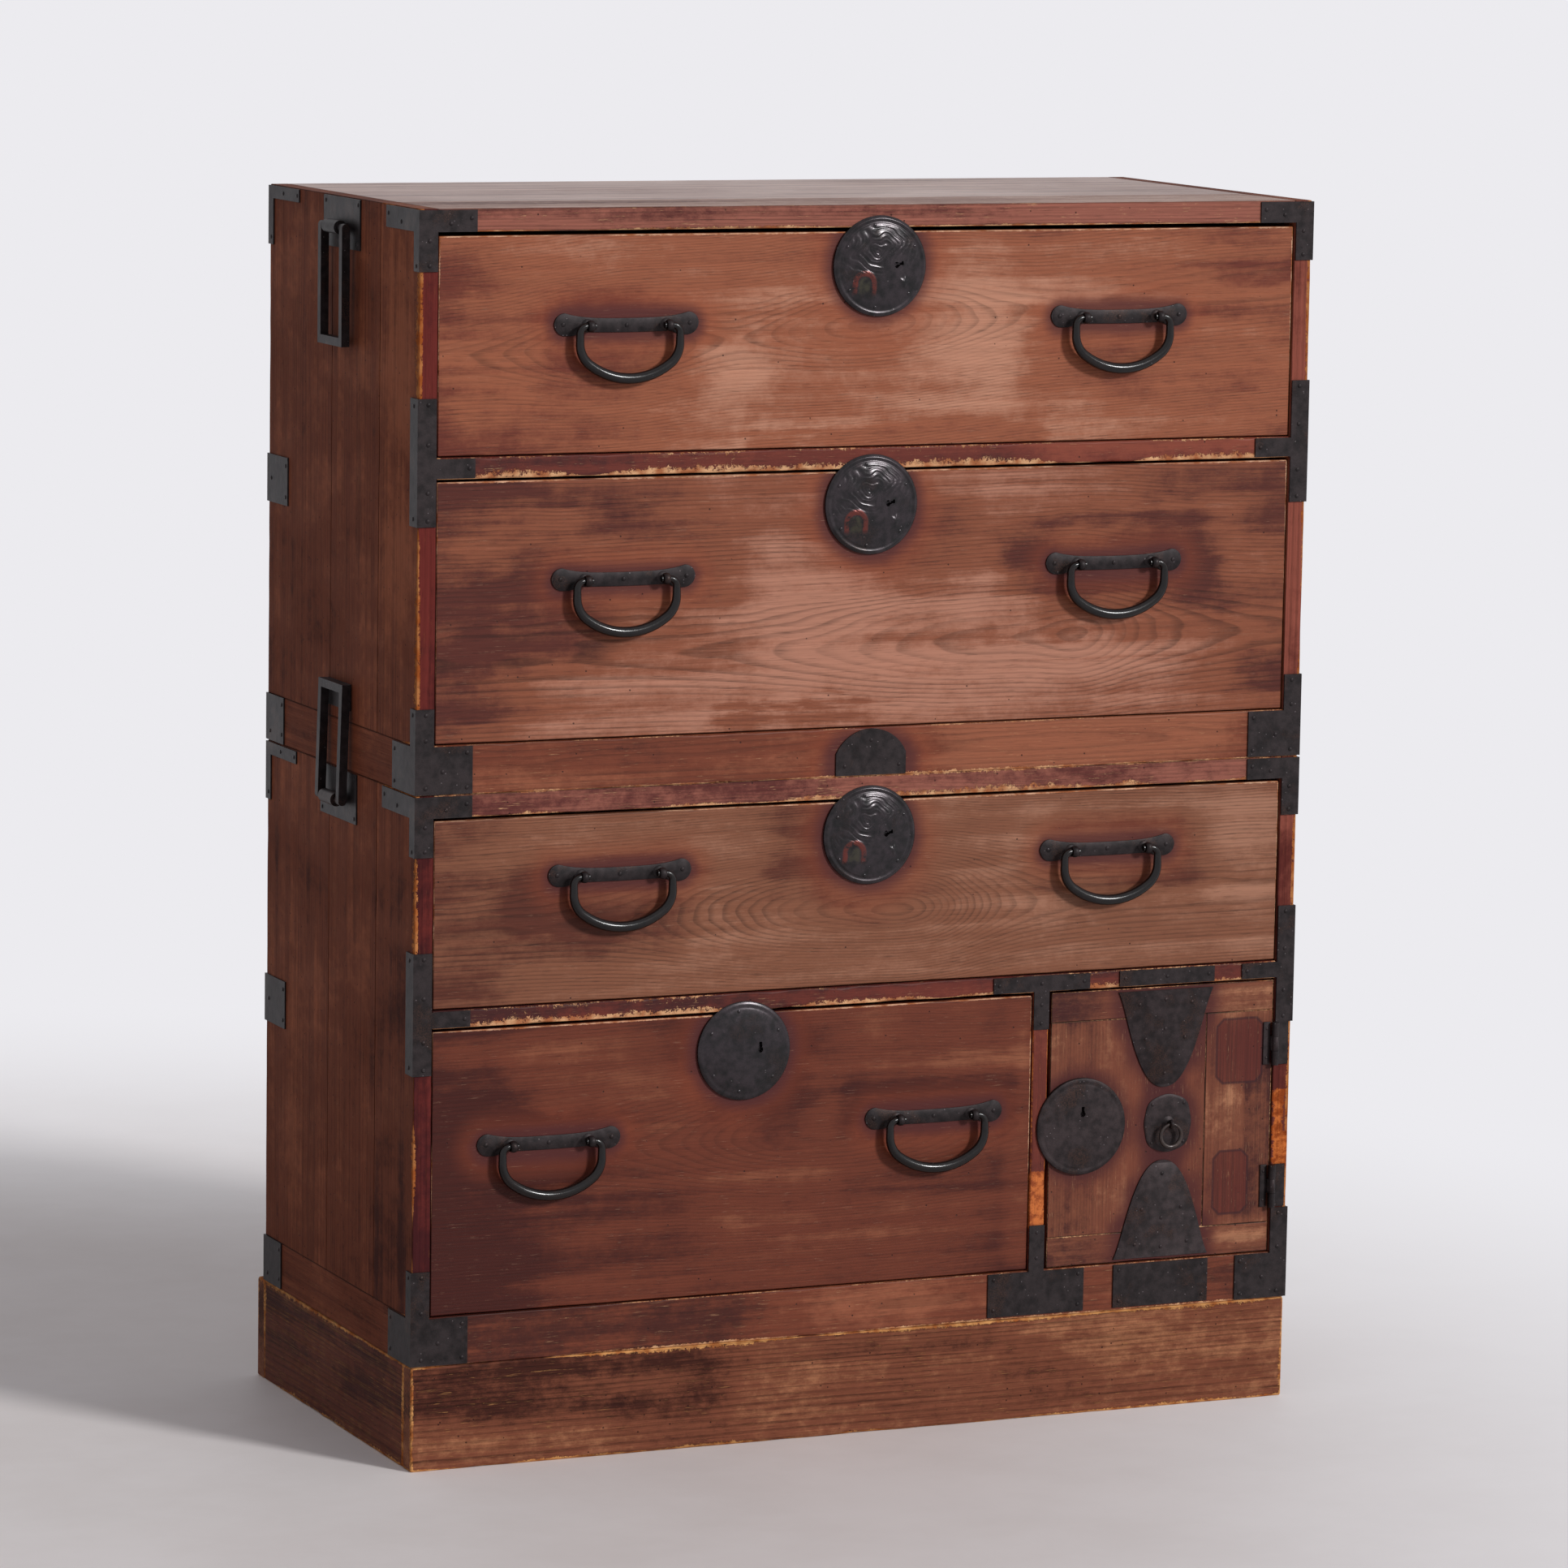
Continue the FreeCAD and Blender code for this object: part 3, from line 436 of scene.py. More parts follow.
@dataclass(frozen=True)
class WoodFinish:
    """Lacquered or bare wood with growth rings, fibres, bloomed and faded patches and worn edges; on
    the drawers some patches are painted sheen and painted shade.
    """

    name: str
    light: Colour
    middle: Colour
    deep: Colour
    grain: Grain = Grain()
    wear: Wear = Wear()
    age: float = 0.5
    cloud: float = 1.6
    streak: float = 1.1
    grime: float = 0.5
    matt: float = 0.46
    shine: float = 0.16
    specks: float = 0.12
    scratches: float = 0.15
    halo: Colour = tone(66, 29, 32)
    ember: Colour = tone(140, 66, 40)
    outlines: tuple[Blot, ...] = ()
    blots_and_painted_light: tuple[Blot, ...] = ()
    old_lacquer: tuple[Patch, ...] = ()
    bare_spots: tuple[Blot, ...] = ()
    combed: tuple[Patch, ...] = ()
    bare_back: bool = False
    ragged_patch: float = 0.07
    ragged_ring: float = 0.03
    ragged_outline: float = 0.016
    ring_spread: float = 2.4
    front_edge: Union[float, None] = None
    edge_light: Colour = tone(112, 38, 38)
    edge_deep: Colour = tone(66, 24, 31)

    def material(self) -> bpy.types.Material:
        """Builds the finish.

        The age of the lacquer, a cloudy value with the darker and faded patches added, picks a colour
        between the faded, the middle and the deep one; on the drawers some of these patches are
        painted sheen and painted shade. Rings, fibres, pores, specks, scratches and worn edges lie
        over it.

        Returns:
            The material.
        """
        graph = Surface(self.name)
        place = graph.place()
        x, y, z = place
        inset, reach, log = (graph.attribute(name) for name in ("inset", "reach", "log"))
        rings = self._rings(graph, inset[0], log)
        fibre, streak = graph.cloudy(log, FIBRE), graph.cloudy(log, STREAK)
        pores = graph.cloudy(log, PORES).rise(0.58, 0.72)
        cloud = graph.noise(x * 4.5, y * 4.5, z * 12.0 + streak * 0.8, 7.0, 0.66)
        grime = graph.cloudy(place, GRIME)
        age = ((cloud - 0.5) * self.cloud + (streak - 0.5) * self.streak
               + (grime - 0.5) * self.grime + self.age)
        # Darker and faded patches; on the drawers some are painted sheen and painted shade.
        for blot in self.blots_and_painted_light:
            age = age + self._soft_patch(x, z, blot, cloud, self.ragged_patch) * blot.amount
        colour = graph.blend(age.rise(0.5, 1.0), graph.blend(age.rise(0.0, 0.5), self.light,
                                                              self.middle), self.deep)
        grain = self.grain
        shading = 1.0 - rings * grain.vein - (fibre - 0.5) * grain.fibre - pores * 0.22
        colour = graph.shade(colour, shading)
        for outline in self.outlines:
            ring = replace(outline, spread=self.ring_spread * outline.spread)
            warm = self._soft_patch(x, z, ring, cloud, self.ragged_ring) * 0.45 * outline.amount
            colour = graph.blend(warm, colour, self.ember)
        for outline in self.outlines:
            bloom = self._soft_patch(x, z, outline, cloud, self.ragged_outline) * outline.amount
            colour = graph.blend(bloom, colour, self.halo)
        for patch in self.old_lacquer:
            colour = self._old_lacquer(graph, colour, patch, x, z, fibre)
        if self.bare_back:
            behind = (inset[2] - reach[2]).rise(-0.0014, -0.0006)
            plain = graph.blend(cloud, tone(178, 138, 100), tone(146, 104, 72))
            colour = graph.blend(behind, colour, graph.shade(plain, shading))
        edge = 1.0
        if self.front_edge is not None:
            edge = (y - self.front_edge).fall(0.0006, 0.0011)
            red = graph.blend(age.rise(0.2, 0.8), self.edge_light, self.edge_deep)
            colour = graph.blend(edge, colour, graph.shade(red, shading))
        specks = graph.dots(x * 90.0, y * 90.0, z * 90.0, self.specks, 0.1)
        colour = graph.blend(specks * 0.8, colour, tone(34, 18, 16))
        rubbed = graph.cloudy(log, RUBBED).rise(0.56, 0.7) * grime.rise(0.48, 0.62)
        colour = graph.blend(rubbed * self.scratches, colour, self.wear.bare)
        bare, seam = self._worn(graph, place, inset, reach)
        for patch in self.combed:
            side, rise = patch.gaps(x, z)
            bare = bare.most(side.least(rise).rise(0.0, 0.01) * fibre.rise(0.5, 0.6))
        colour = graph.shade(colour, 1.0 - seam * self.wear.seam)
        tan = graph.blend(graph.cloudy(place, BARE).rise(0.35, 0.65), self.wear.bare,
                          self.wear.raw)
        colour = graph.blend(bare, colour, graph.shade(tan, shading))
        orange = graph.blend(grime.rise(0.4, 0.6), tone(192, 106, 52), tone(132, 60, 25))
        for spot in self.bare_spots:
            raw = self._soft_patch(x, z, spot, grime, self.ragged_ring) * (1.0 - specks * 0.8)
            raw = raw * spot.amount * edge
            colour = graph.blend(raw, colour, graph.shade(orange, shading))
        roughness = (cloud * 0.3 + fibre * 0.12 + bare * 0.25 + (self.matt - 0.2)).least(0.95)
        height = rings * -3e-5 + fibre * 6e-5 - bare * 2e-4 - specks * 3e-4 + streak * 8e-5
        graph.finish(colour, roughness, height, shine=self.shine)
        return graph.material

    def _rings(self, graph: Graph, along: Wire, log: Sequence[Wire]) -> Wire:
        """Growth rings: a dark line where each ring ends, fading into the next one.

        A ring is a whole number of widths from the log's heart. The heart comes nearer to the
        face at each figure, so that a flat cut shows nested ovals there and lines elsewhere.

        Args:
            graph: The material's graph.
            along: The place along the board.
            log: The place in the log.

        Returns:
            How strong the dark line is.
        """
        grain = self.grain
        wander = (graph.cloudy(log, WANDER) - 0.5) * grain.wander
        level = log[1] + wander * 0.014 - along * grain.tilt
        heart = log[2] + wander * 0.012
        for figure in grain.figures:
            shift = (along - figure.along) / figure.reach
            heart = heart - graph.math("EXPONENT", shift * shift * -1.0) * figure.swell
        count = (level * level + heart * heart).root() / grain.ring
        saw = count.part()
        strength = graph.noise(count * 0.23, log[0] * 2.0, 3.0, 2.0).rise(0.3, 0.65, 0.3, 1.0)
        return saw.rise(0.4, 0.88) * saw.fall(0.9, 1.0) * strength

    def _soft_patch(self, x: Wire, z: Wire, blot: Blot, cloud: Wire, ragged: float) -> Wire:
        """One inside a patch, fading out unevenly round it.

        Args:
            x, z: The place on the front.
            blot: The patch.
            cloud: The pattern that makes its outline uneven.
            ragged: How uneven the outline is, in metres.

        Returns:
            The strength of the bloom.
        """
        side = ((x - blot.x).size() - blot.half_x).most(0.0)
        rise = ((z - blot.z).size() - blot.half_z).most(0.0)
        away = (side * side + rise * rise).root() - blot.radius - (cloud - 0.5) * ragged
        return away.fall(0.0, blot.spread)

    def _old_lacquer(self, graph: Graph, colour: Wire, patch: Patch, x: Wire, z: Wire,
                     fibre: Wire) -> Wire:
        """A patch that a plate once kept from the light: red lacquer with a dark outline.

        Args:
            graph: The material's graph.
            colour: The colour round the patch.
            patch: The patch.
            x, z: The place on the front.
            fibre: The pattern of the wood's fibres.

        Returns:
            The colour with the patch in it.
        """
        chamfer = 0.007
        side, rise = patch.gaps(x, z)
        inside = side.least(rise).least((side + rise - chamfer) * 0.7)
        outline = inside.size().fall(0.0003, 0.002)
        red = graph.blend(fibre.rise(0.35, 0.65), tone(92, 38, 30), tone(68, 28, 23))
        colour = graph.blend(inside.rise(-0.0003, 0.0006) * 0.85, colour, red)
        return graph.blend(outline * 0.75, colour, tone(50, 22, 26))

    def _worn(self, graph: Graph, place: Sequence[Wire], inset: Sequence[Wire],
              reach: Sequence[Wire]) -> tuple[Wire, Wire]:
        """Bare wood along a board's edges, in a thin line and in ragged chips beside it.

        Args:
            graph: The material's graph.
            place: The place in the frame.
            inset: The place in the board, from its middle.
            reach: Half the board's sizes.

        Returns:
            How bare the wood is, and how near the board's edge is.
        """
        wear = self.wear
        gaps = [half - here.size() for half, here in zip(reach, inset)]
        low = gaps[0].least(gaps[1])
        high = gaps[0].most(gaps[1])
        nearest = low.most(high.least(gaps[2]))
        seam = nearest.fall(0.0003, 0.0012)
        ragged, patchy = graph.cloudy(place, RAGGED), graph.cloudy(place, PATCHY)
        bias = (1.0 - (inset[1] / reach[1]) * wear.lean).most(0.0)
        if wear.beyond:
            bias = bias * (place[0].size() - wear.beyond).rise(0.0, 0.002)
        chips = (ragged - 0.4).most(0.0) * patchy.rise(0.36, 0.66, 0.0, 9.0) * bias * wear.width
        thin = patchy.rise(0.3, 0.5, 0.2, 1.0) * bias * wear.line
        return (nearest - chips - thin).fall(-0.0002, 0.0003), seam


@dataclass(frozen=True)
class PlanedFinish:
    """Plain planed wood inside the chest, on pieces with no values of their own."""

    name: str
    axis: int
    light: Colour = tone(176, 138, 100)
    deep: Colour = tone(134, 98, 68)

    def material(self) -> bpy.types.Material:
        """Builds the finish: rings and fibres drawn out along one axis, with a little dirt.

        Returns:
            The material.
        """
        graph = Surface(self.name)
        place = graph.place()
        wander, fibre = (
            graph.cloudy(place, Pattern(tuple(along if index == self.axis else across
                                              for index in range(3)), 3.0))
            for along, across in ((2.2, 45.0), (9.0, 600.0)))
        ring = (wander * 9.0).part()
        dirt = graph.cloudy(place, DIRT)
        colour = graph.blend(ring.rise(0.2, 0.9) * 0.6 + dirt * 0.4, self.light, self.deep)
        colour = graph.shade(colour, 1.1 - fibre * 0.2 - dirt.rise(0.5, 0.8) * 0.25)
        graph.finish(colour, fibre * 0.1 + 0.6, fibre * 5e-5 + ring * 3e-5)
        return graph.material


@dataclass(frozen=True)
class IronFinish:
    """Blackened wrought iron: hammered, a little rusty, rubbed brighter here and there."""

    name: str
    dark: Colour = tone(20, 15, 16)
    pale: Colour = tone(42, 35, 36)
    rust: Colour = tone(60, 40, 33)
    matt: float = 0.5
    metal: float = 0.5
    coat: float = 0.0
    shine: float = 0.3
    hammered: float = 2.2e-4
    glints: float = 0.16
    copper: tuple[tuple[float, float], ...] = ()

    def material(self) -> bpy.types.Material:
        """Builds the finish.

        Returns:
            The material.
        """
        graph = Surface(self.name)
        place = graph.place()
        x, y, z = place
        broad, hammer, grit = (graph.cloudy(place, kind) for kind in (BROAD, HAMMER, GRIT))
        colour = graph.blend((broad * 0.5 + hammer * 0.5).rise(0.36, 0.64), self.dark, self.pale)
        colour = graph.blend(broad.fall(0.34, 0.46) * grit.rise(0.4, 0.6) * 0.7, colour, self.rust)
        colour = graph.shade(colour, grit * 1.4 + 0.3)
        # Painted glints: small pale dots that stand for tiny highlights on the iron.
        glints = graph.dots(x * 260.0, y * 260.0, z * 260.0, self.glints, 0.17)
        colour = graph.blend(glints * 0.6, colour, tone(118, 110, 112))
        for spot_x, spot_z in self.copper:
            side, rise = (x - spot_x).size(), z - spot_z
            away = (side * side + rise.most(0.0) * rise.most(0.0)).root()
            worn = hammer * 0.6 + grit * 0.4
            legs = (rise + worn * 0.006).rise(-0.009, -0.003)
            arch = (away - 0.0095 + (worn - 0.5) * 0.004).size().fall(0.0016, 0.0032) * legs
            green = away.fall(0.004, 0.007) * legs * 0.5
            colour = graph.blend(green * hammer.rise(0.3, 0.6), colour, tone(62, 60, 38))
            colour = graph.blend(arch * worn.rise(0.36, 0.56) * 0.85, colour, tone(98, 36, 25))
        roughness = broad * 0.25 + grit * 0.15 + (self.matt - 0.2)
        height = hammer * self.hammered + grit * 2.5e-5
        graph.finish(colour, roughness, height, self.metal, self.coat, self.shine)
        return graph.material


def full_turn(count: int) -> np.ndarray:
    """Evenly spaced turns round a circle, in radians."""
    return np.linspace(0, 2 * math.pi, count, endpoint=False)


@dataclass
class Skin:
    """A closed surface: points, faces and the values that the points carry."""

    points: np.ndarray
    faces: list[list[int]]
    normals: Union[np.ndarray, None] = None
    values: Union[dict[str, np.ndarray], None] = None

    def outward(self) -> "Skin":
        """Turns the faces outwards, by the sign of the volume that they enclose.

        Returns:
            The same surface.
        """
        fans = np.array([(face[0], face[k], face[k + 1]) for face in self.faces
                         for k in range(1, len(face) - 1)])
        first, second, third = (self.points[fans[:, k]] for k in range(3))
        if np.einsum("ij,ij->", first, np.cross(second, third)) < 0:
            self.faces = [face[::-1] for face in self.faces]
        return self


def loft(rings: np.ndarray, closed: bool = False) -> Skin:
    """Joins rings of points into one closed surface.

    The surface is a function of two counts, the ring and the point on it, with four neighbours
    to a face; a flat face closes each end.

    Args:
        rings: The points, by ring, point and direction.
        closed: True if the last ring joins the first one.

    Returns:
        The surface.
    """
    count, sides = rings.shape[:2]
    ring = np.arange(count if closed else count - 1)[:, None]
    side = np.arange(sides)[None, :]
    ahead, next_side = (ring + 1) % count, (side + 1) % sides
    quads = np.stack([ring * sides + side, ring * sides + next_side,
                      ahead * sides + next_side, ahead * sides + side], axis=-1)
    faces = quads.reshape(-1, 4).tolist()
    if not closed:
        faces.append(list(range(sides))[::-1])
        faces.append(list(range((count - 1) * sides, count * sides)))
    return Skin(rings.reshape(-1, 3), faces).outward()


def bar_rings(stations: np.ndarray, shift: np.ndarray, half_width: np.ndarray,
              half_thick: np.ndarray, ease: Union[np.ndarray, float],
              arc: int = 4) -> tuple[np.ndarray, ...]:
    """Rounded rectangles carried along a line.

    Each corner is a quarter circle of the ease's radius; its centre lies that far inside both
    faces. All the lists have one value for each station; the ease may have one for each corner
    as well, or be one number.

    Args:
        stations: How far along the line each ring lies.
        shift: How far each ring's middle lies to the side.
        half_width: Half the width of each ring.
        half_thick: Half the thickness of each ring.
        ease: The radius of the corners.
        arc: The number of points on a corner.

    Returns:
        The rings' points in the line's own directions, and each point's turn in radians.
    """
    turns = (np.arange(4)[:, None] * (math.pi / 2)
             + np.linspace(0, math.pi / 2, arc)[None, :]).ravel()
    middle = np.repeat(np.arange(4) * (math.pi / 2) + math.pi / 4, arc)
    sign_a, sign_b = np.sign(np.cos(middle)), np.sign(np.sin(middle))
    radius = np.repeat(np.broadcast_to(ease, (len(stations), 4)), arc, axis=1)
    radius = np.minimum(radius, 0.92 * np.minimum(half_width, half_thick)[:, None])
    side = sign_a * (half_width[:, None] - radius) + radius * np.cos(turns) + shift[:, None]
    through = sign_b * (half_thick[:, None] - radius) + radius * np.sin(turns)
    along = np.broadcast_to(stations[:, None], side.shape)
    return np.stack([along, side, through], axis=-1), turns


def chips(places: np.ndarray, spacing: float, random: np.random.Generator) -> np.ndarray:
    """An uneven value between nothing and one along a board, for each of its four corners.

    Args:
        places: The places along the board.
        spacing: The distance between the random values that the others lie between.
        random: The board's own source of random numbers.

    Returns:
        Four values for each place.
    """
    knots = np.arange(places.min() - spacing, places.max() + 2 * spacing, spacing)
    return np.stack([np.interp(places, knots, random.random(len(knots)) ** 3)
                     for _ in range(4)], axis=-1)


@dataclass(frozen=True)
class Pocket:
    """A hole for a lock bolt, sunk into a board from one of its sides.

    The way is one where it opens on the high side and minus one where it opens on the low side;
    the floor is its deepest place in that direction.
    """

    bolt: str
    clear: float
    floor: float
    way: int


@dataclass
class Board:
    """A plank with eased, unevenly worn edges."""

    low: Sequence[float]
    high: Sequence[float]
    axis: Axis
    seed: int
    ease: float = 0.0011
    chip: float = 0.0012
    heart: float = 0.05
    off_heart: float = 0.0
    step: float = 0.006
    pocket: Union[Pocket, None] = None

    def skin(self) -> Skin:
        """Works out the plank.

        Rings run along the grain; at each end they draw in on a quarter circle. The points
        carry their place in the board, the board's half sizes and their place in the log.

        Returns:
            The surface.
        """
        random = np.random.default_rng(self.seed)
        order = list(self.axis.value)
        low, high = np.array(Vector(self.low)), np.array(Vector(self.high))
        half = ((high - low) / 2)[order]
        centre = (high + low) / 2
        turn = np.linspace(0, math.pi / 2, 4)
        inner = half[0] - self.ease
        middle = np.linspace(-inner, inner, max(2, int(2 * inner / self.step)))
        stations = np.concatenate([-half[0] + self.ease * (1 - np.cos(turn[:-1])), middle,
                                   half[0] - self.ease * (1 - np.cos(turn[-2::-1]))])
        draw = np.concatenate([self.ease * (1 - np.sin(turn[:-1])), np.zeros(len(middle)),
                               self.ease * (1 - np.sin(turn[-2::-1]))])
        ease = self.ease + self.chip * chips(stations, 0.018, random) - draw[:, None]
        rings, turns = bar_rings(stations, 0 * stations, half[1] - draw, half[2] - draw,
                                 np.maximum(ease, 0.15 * self.ease))
        lean = np.concatenate([-np.cos(turn[:-1]), np.zeros(len(middle)), np.cos(turn[-2::-1])])
        flat = np.sqrt(1 - lean ** 2)[:, None]
        normals = np.stack([np.broadcast_to(lean[:, None], rings.shape[:2]),
                            flat * np.cos(turns), flat * np.sin(turns)], axis=-1)
        local = rings.reshape(-1, 3)
        normals = normals.reshape(-1, 3)
        skin = loft(rings)
        if self.pocket:
            corners = self._sink(skin, rings, half[1], centre[order])
            local = np.vstack([local, corners])
            normals = np.vstack([normals, [[0.0, self.pocket.way, 0.0]] * len(corners)])
        back = np.argsort(order)
        skin.points = local[:, back] + centre
        skin.normals = normals[:, back]
        start = np.array([random.uniform(-5, 5), self.off_heart, self.heart])
        skin.values = {"inset": local, "reach": np.broadcast_to(half, local.shape),
                       "log": local + start}
        return skin.outward()

    def _sink(self, skin: Skin, rings: np.ndarray, half: float, centre: np.ndarray) -> np.ndarray:
        """Opens the board's side over the pocket and lines the pocket with four walls.

        The flat faces between two rings on either side of the hole give way to four faces that
        run from their outline to the rim.

        Args:
            skin: The closed board, whose faces are changed.
            rings: The board's points by ring.
            half: Half the board's size from the low side to the high one.
            centre: The board's middle, in its own directions.

        Returns:
            The corners of the pocket's rim and of its floor, in the board's own directions.
        """
        pocket, order, sides = self.pocket, list(self.axis.value), rings.shape[1]
        low, high = (np.array(corner)[order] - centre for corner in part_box(pocket.bolt))
        low, high = low - pocket.clear, high + pocket.clear
        corner = sides - 1 if pocket.way > 0 else sides // 2 - 1
        stations = rings[:, 0, 0]
        start = int(np.searchsorted(stations, low[0] - MM)) - 1
        stop = int(np.searchsorted(stations, high[0] + MM))
        near = (np.arange(start, stop + 1) * sides + corner).tolist()
        far = (np.arange(start, stop + 1) * sides + (corner + 1) % sides).tolist()
        first, last = (low[2], high[2]) if rings[start, corner, 2] < 0 else (high[2], low[2])
        outline = ((low[0], first), (low[0], last), (high[0], last), (high[0], first))
        levels = (pocket.way * half, pocket.floor - centre[1])
        corners = [(along, level, through) for level in levels for along, through in outline]
        rim = [rings.shape[0] * sides + index for index in range(4)]
        floor = [index + 4 for index in rim]
        faces = [floor]
        bands = ([near[0], far[0]], far, [far[-1], near[-1]], near[::-1])
        for index, band in enumerate(bands):
            ahead = (index + 1) % 4
            faces.append([*band, rim[ahead], rim[index]])
            faces.append([rim[index], rim[ahead], floor[ahead], floor[index]])
        if skin.faces[near[0]][0] != near[0]:
            faces = [face[::-1] for face in faces]
        open_faces = set(near[:-1])
        kept = [face for index, face in enumerate(skin.faces) if index not in open_faces]
        skin.faces = kept + faces
        return np.array(corners)


def rod(path: np.ndarray, across: Sequence[float], radius: np.ndarray, flat: float = 1.0,
        sides: int = 16, closed: bool = False) -> Skin:
    """A round bar carried along a flat path.

    Each ring stands square to the path: one of its axes is the direction across the path's
    plane, the other is square to that and to the path.

    Args:
        path: The points of the middle line.
        across: The direction square to the path's plane.
        radius: The radius at each point.
        flat: The share of the radius across the plane.
        sides: The number of points on a ring.
        closed: True if the path closes on itself.

    Returns:
        The surface.
    """
    if closed:
        ahead = np.roll(path, -1, axis=0) - np.roll(path, 1, axis=0)
    else:
        ahead = np.gradient(path, axis=0)
    ahead = ahead / np.linalg.norm(ahead, axis=1, keepdims=True)
    normal = np.array(across, float)
    side = np.cross(ahead, normal)
    angle = full_turn(sides)
    rings = (path[:, None, :]
             + radius[:, None, None] * np.cos(angle)[None, :, None] * side[:, None, :]
             + flat * radius[:, None, None] * np.sin(angle)[None, :, None] * normal)
    return loft(rings, closed)


def turned(profile: Sequence[tuple[float, float]], centre: Sequence[float], axis: int,
           sides: int = 24, closed: bool = False, way: int = 1) -> Skin:
    """A turned shape: each pair of the profile is a radius and a place along the axis.

    Args:
        profile: The outline, from one end of the axis to the other, or a closed ring.
        centre: The point on the axis where places along it start.
        axis: The axis, as 0, 1 or 2.
        sides: The number of points round the axis.
        closed: True for a ring with a hole through it.
        way: One if places grow along the axis, minus one if they grow against it.

    Returns:
        The surface.
    """
    radius, place = np.array(profile).T
    angle = full_turn(sides)
    rings = np.zeros((len(radius), sides, 3))
    first, second = [other for other in range(3) if other != axis]
    rings[:, :, axis] = way * place[:, None]
    rings[:, :, first] = radius[:, None] * np.cos(angle)
    rings[:, :, second] = radius[:, None] * np.sin(angle)
    skin = loft(rings, closed)
    skin.points = skin.points + np.array(centre)
    return skin


def piece(name: str, skins: Sequence[Skin], finish: bpy.types.Material, body: str,
          replaces: Sequence[str] = ()) -> None:
    """Makes one piece of the chest and seats it on its body.

    Args:
        name: The piece's name.
        skins: Its surfaces.
        finish: Its material.
        body: The body that carries it.
        replaces: The frame's nodes that it stands for.
    """
    starts = np.cumsum([0] + [len(skin.points) for skin in skins[:-1]])
    faces = [[index + int(start) for index in face]
             for skin, start in zip(skins, starts) for face in skin.faces]
    points = np.concatenate([skin.points for skin in skins])
    mesh = bpy.data.meshes.new(name)
    mesh.from_pydata(points.tolist(), [], faces)
    mesh.polygons.foreach_set("use_smooth", np.ones(len(mesh.polygons), bool))
    if all(skin.values for skin in skins):
        for key in skins[0].values:
            attribute = mesh.attributes.new(key, "FLOAT_VECTOR", "POINT")
            value = np.concatenate([skin.values[key] for skin in skins])
            attribute.data.foreach_set("vector", np.ascontiguousarray(value, np.float32).ravel())
    if all(skin.normals is not None for skin in skins):
        mesh.normals_split_custom_set_from_vertices(
            np.concatenate([skin.normals for skin in skins]).tolist())
    else:
        mesh.set_sharp_from_angle(angle=math.radians(38))
    mesh.materials.append(finish)
    thing = bpy.data.objects.new(name, mesh)
    bpy.context.scene.collection.objects.link(thing)
    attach(thing, body)
    if replaces:
        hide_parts(*replaces)
    LOG.info("%s: %d points on %s", name, len(points), body)


def dress(nodes: Iterable[str], finish: bpy.types.Material) -> None:
    """Gives nodes of the frame a finish in all their material slots.

    Args:
        nodes: The nodes' names.
        finish: The material.
    """
    for name in nodes:
        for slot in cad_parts[name].material_slots:
            slot.material = finish
        LOG.info("%s: %s", name, finish.name)


def nail(x: float, y: float, z: float, axis: int, way: int, radius: float) -> Skin:
    """A nail's domed head on a plate.

    Args:
        x, y, z: The middle of the head's foot.
        axis: The direction that it stands out in, as 0, 1 or 2.
        way: One if it stands out along that direction, minus one if against it.
        radius: The head's radius.

    Returns:
        The surface.
    """
    height = 0.42 * radius
    profile = [(radius, -0.2 * height), (0.96 * radius, 0.35 * height),
               (0.72 * radius, 0.75 * height), (0.35 * radius, 0.95 * height),
               (0.08 * radius, height)]
    return turned(profile, (x, y, z), axis, sides=12, way=way)


def front_nails(middle: tuple[float, float], places: Iterable[tuple[float, float]], face: float,
                radius: float = 0.0022) -> list[Skin]:
    """Nail heads that stand out to the front.

    Args:
        middle: The point, across and up, that the places are measured from.
        places: Each nail's place.
        face: The depth of the face that they are driven into.
        radius: The heads' radius.

    Returns:
        The surfaces.
    """
    return [nail(middle[0] + x, face, middle[1] + z, 1, -1, radius) for x, z in places]


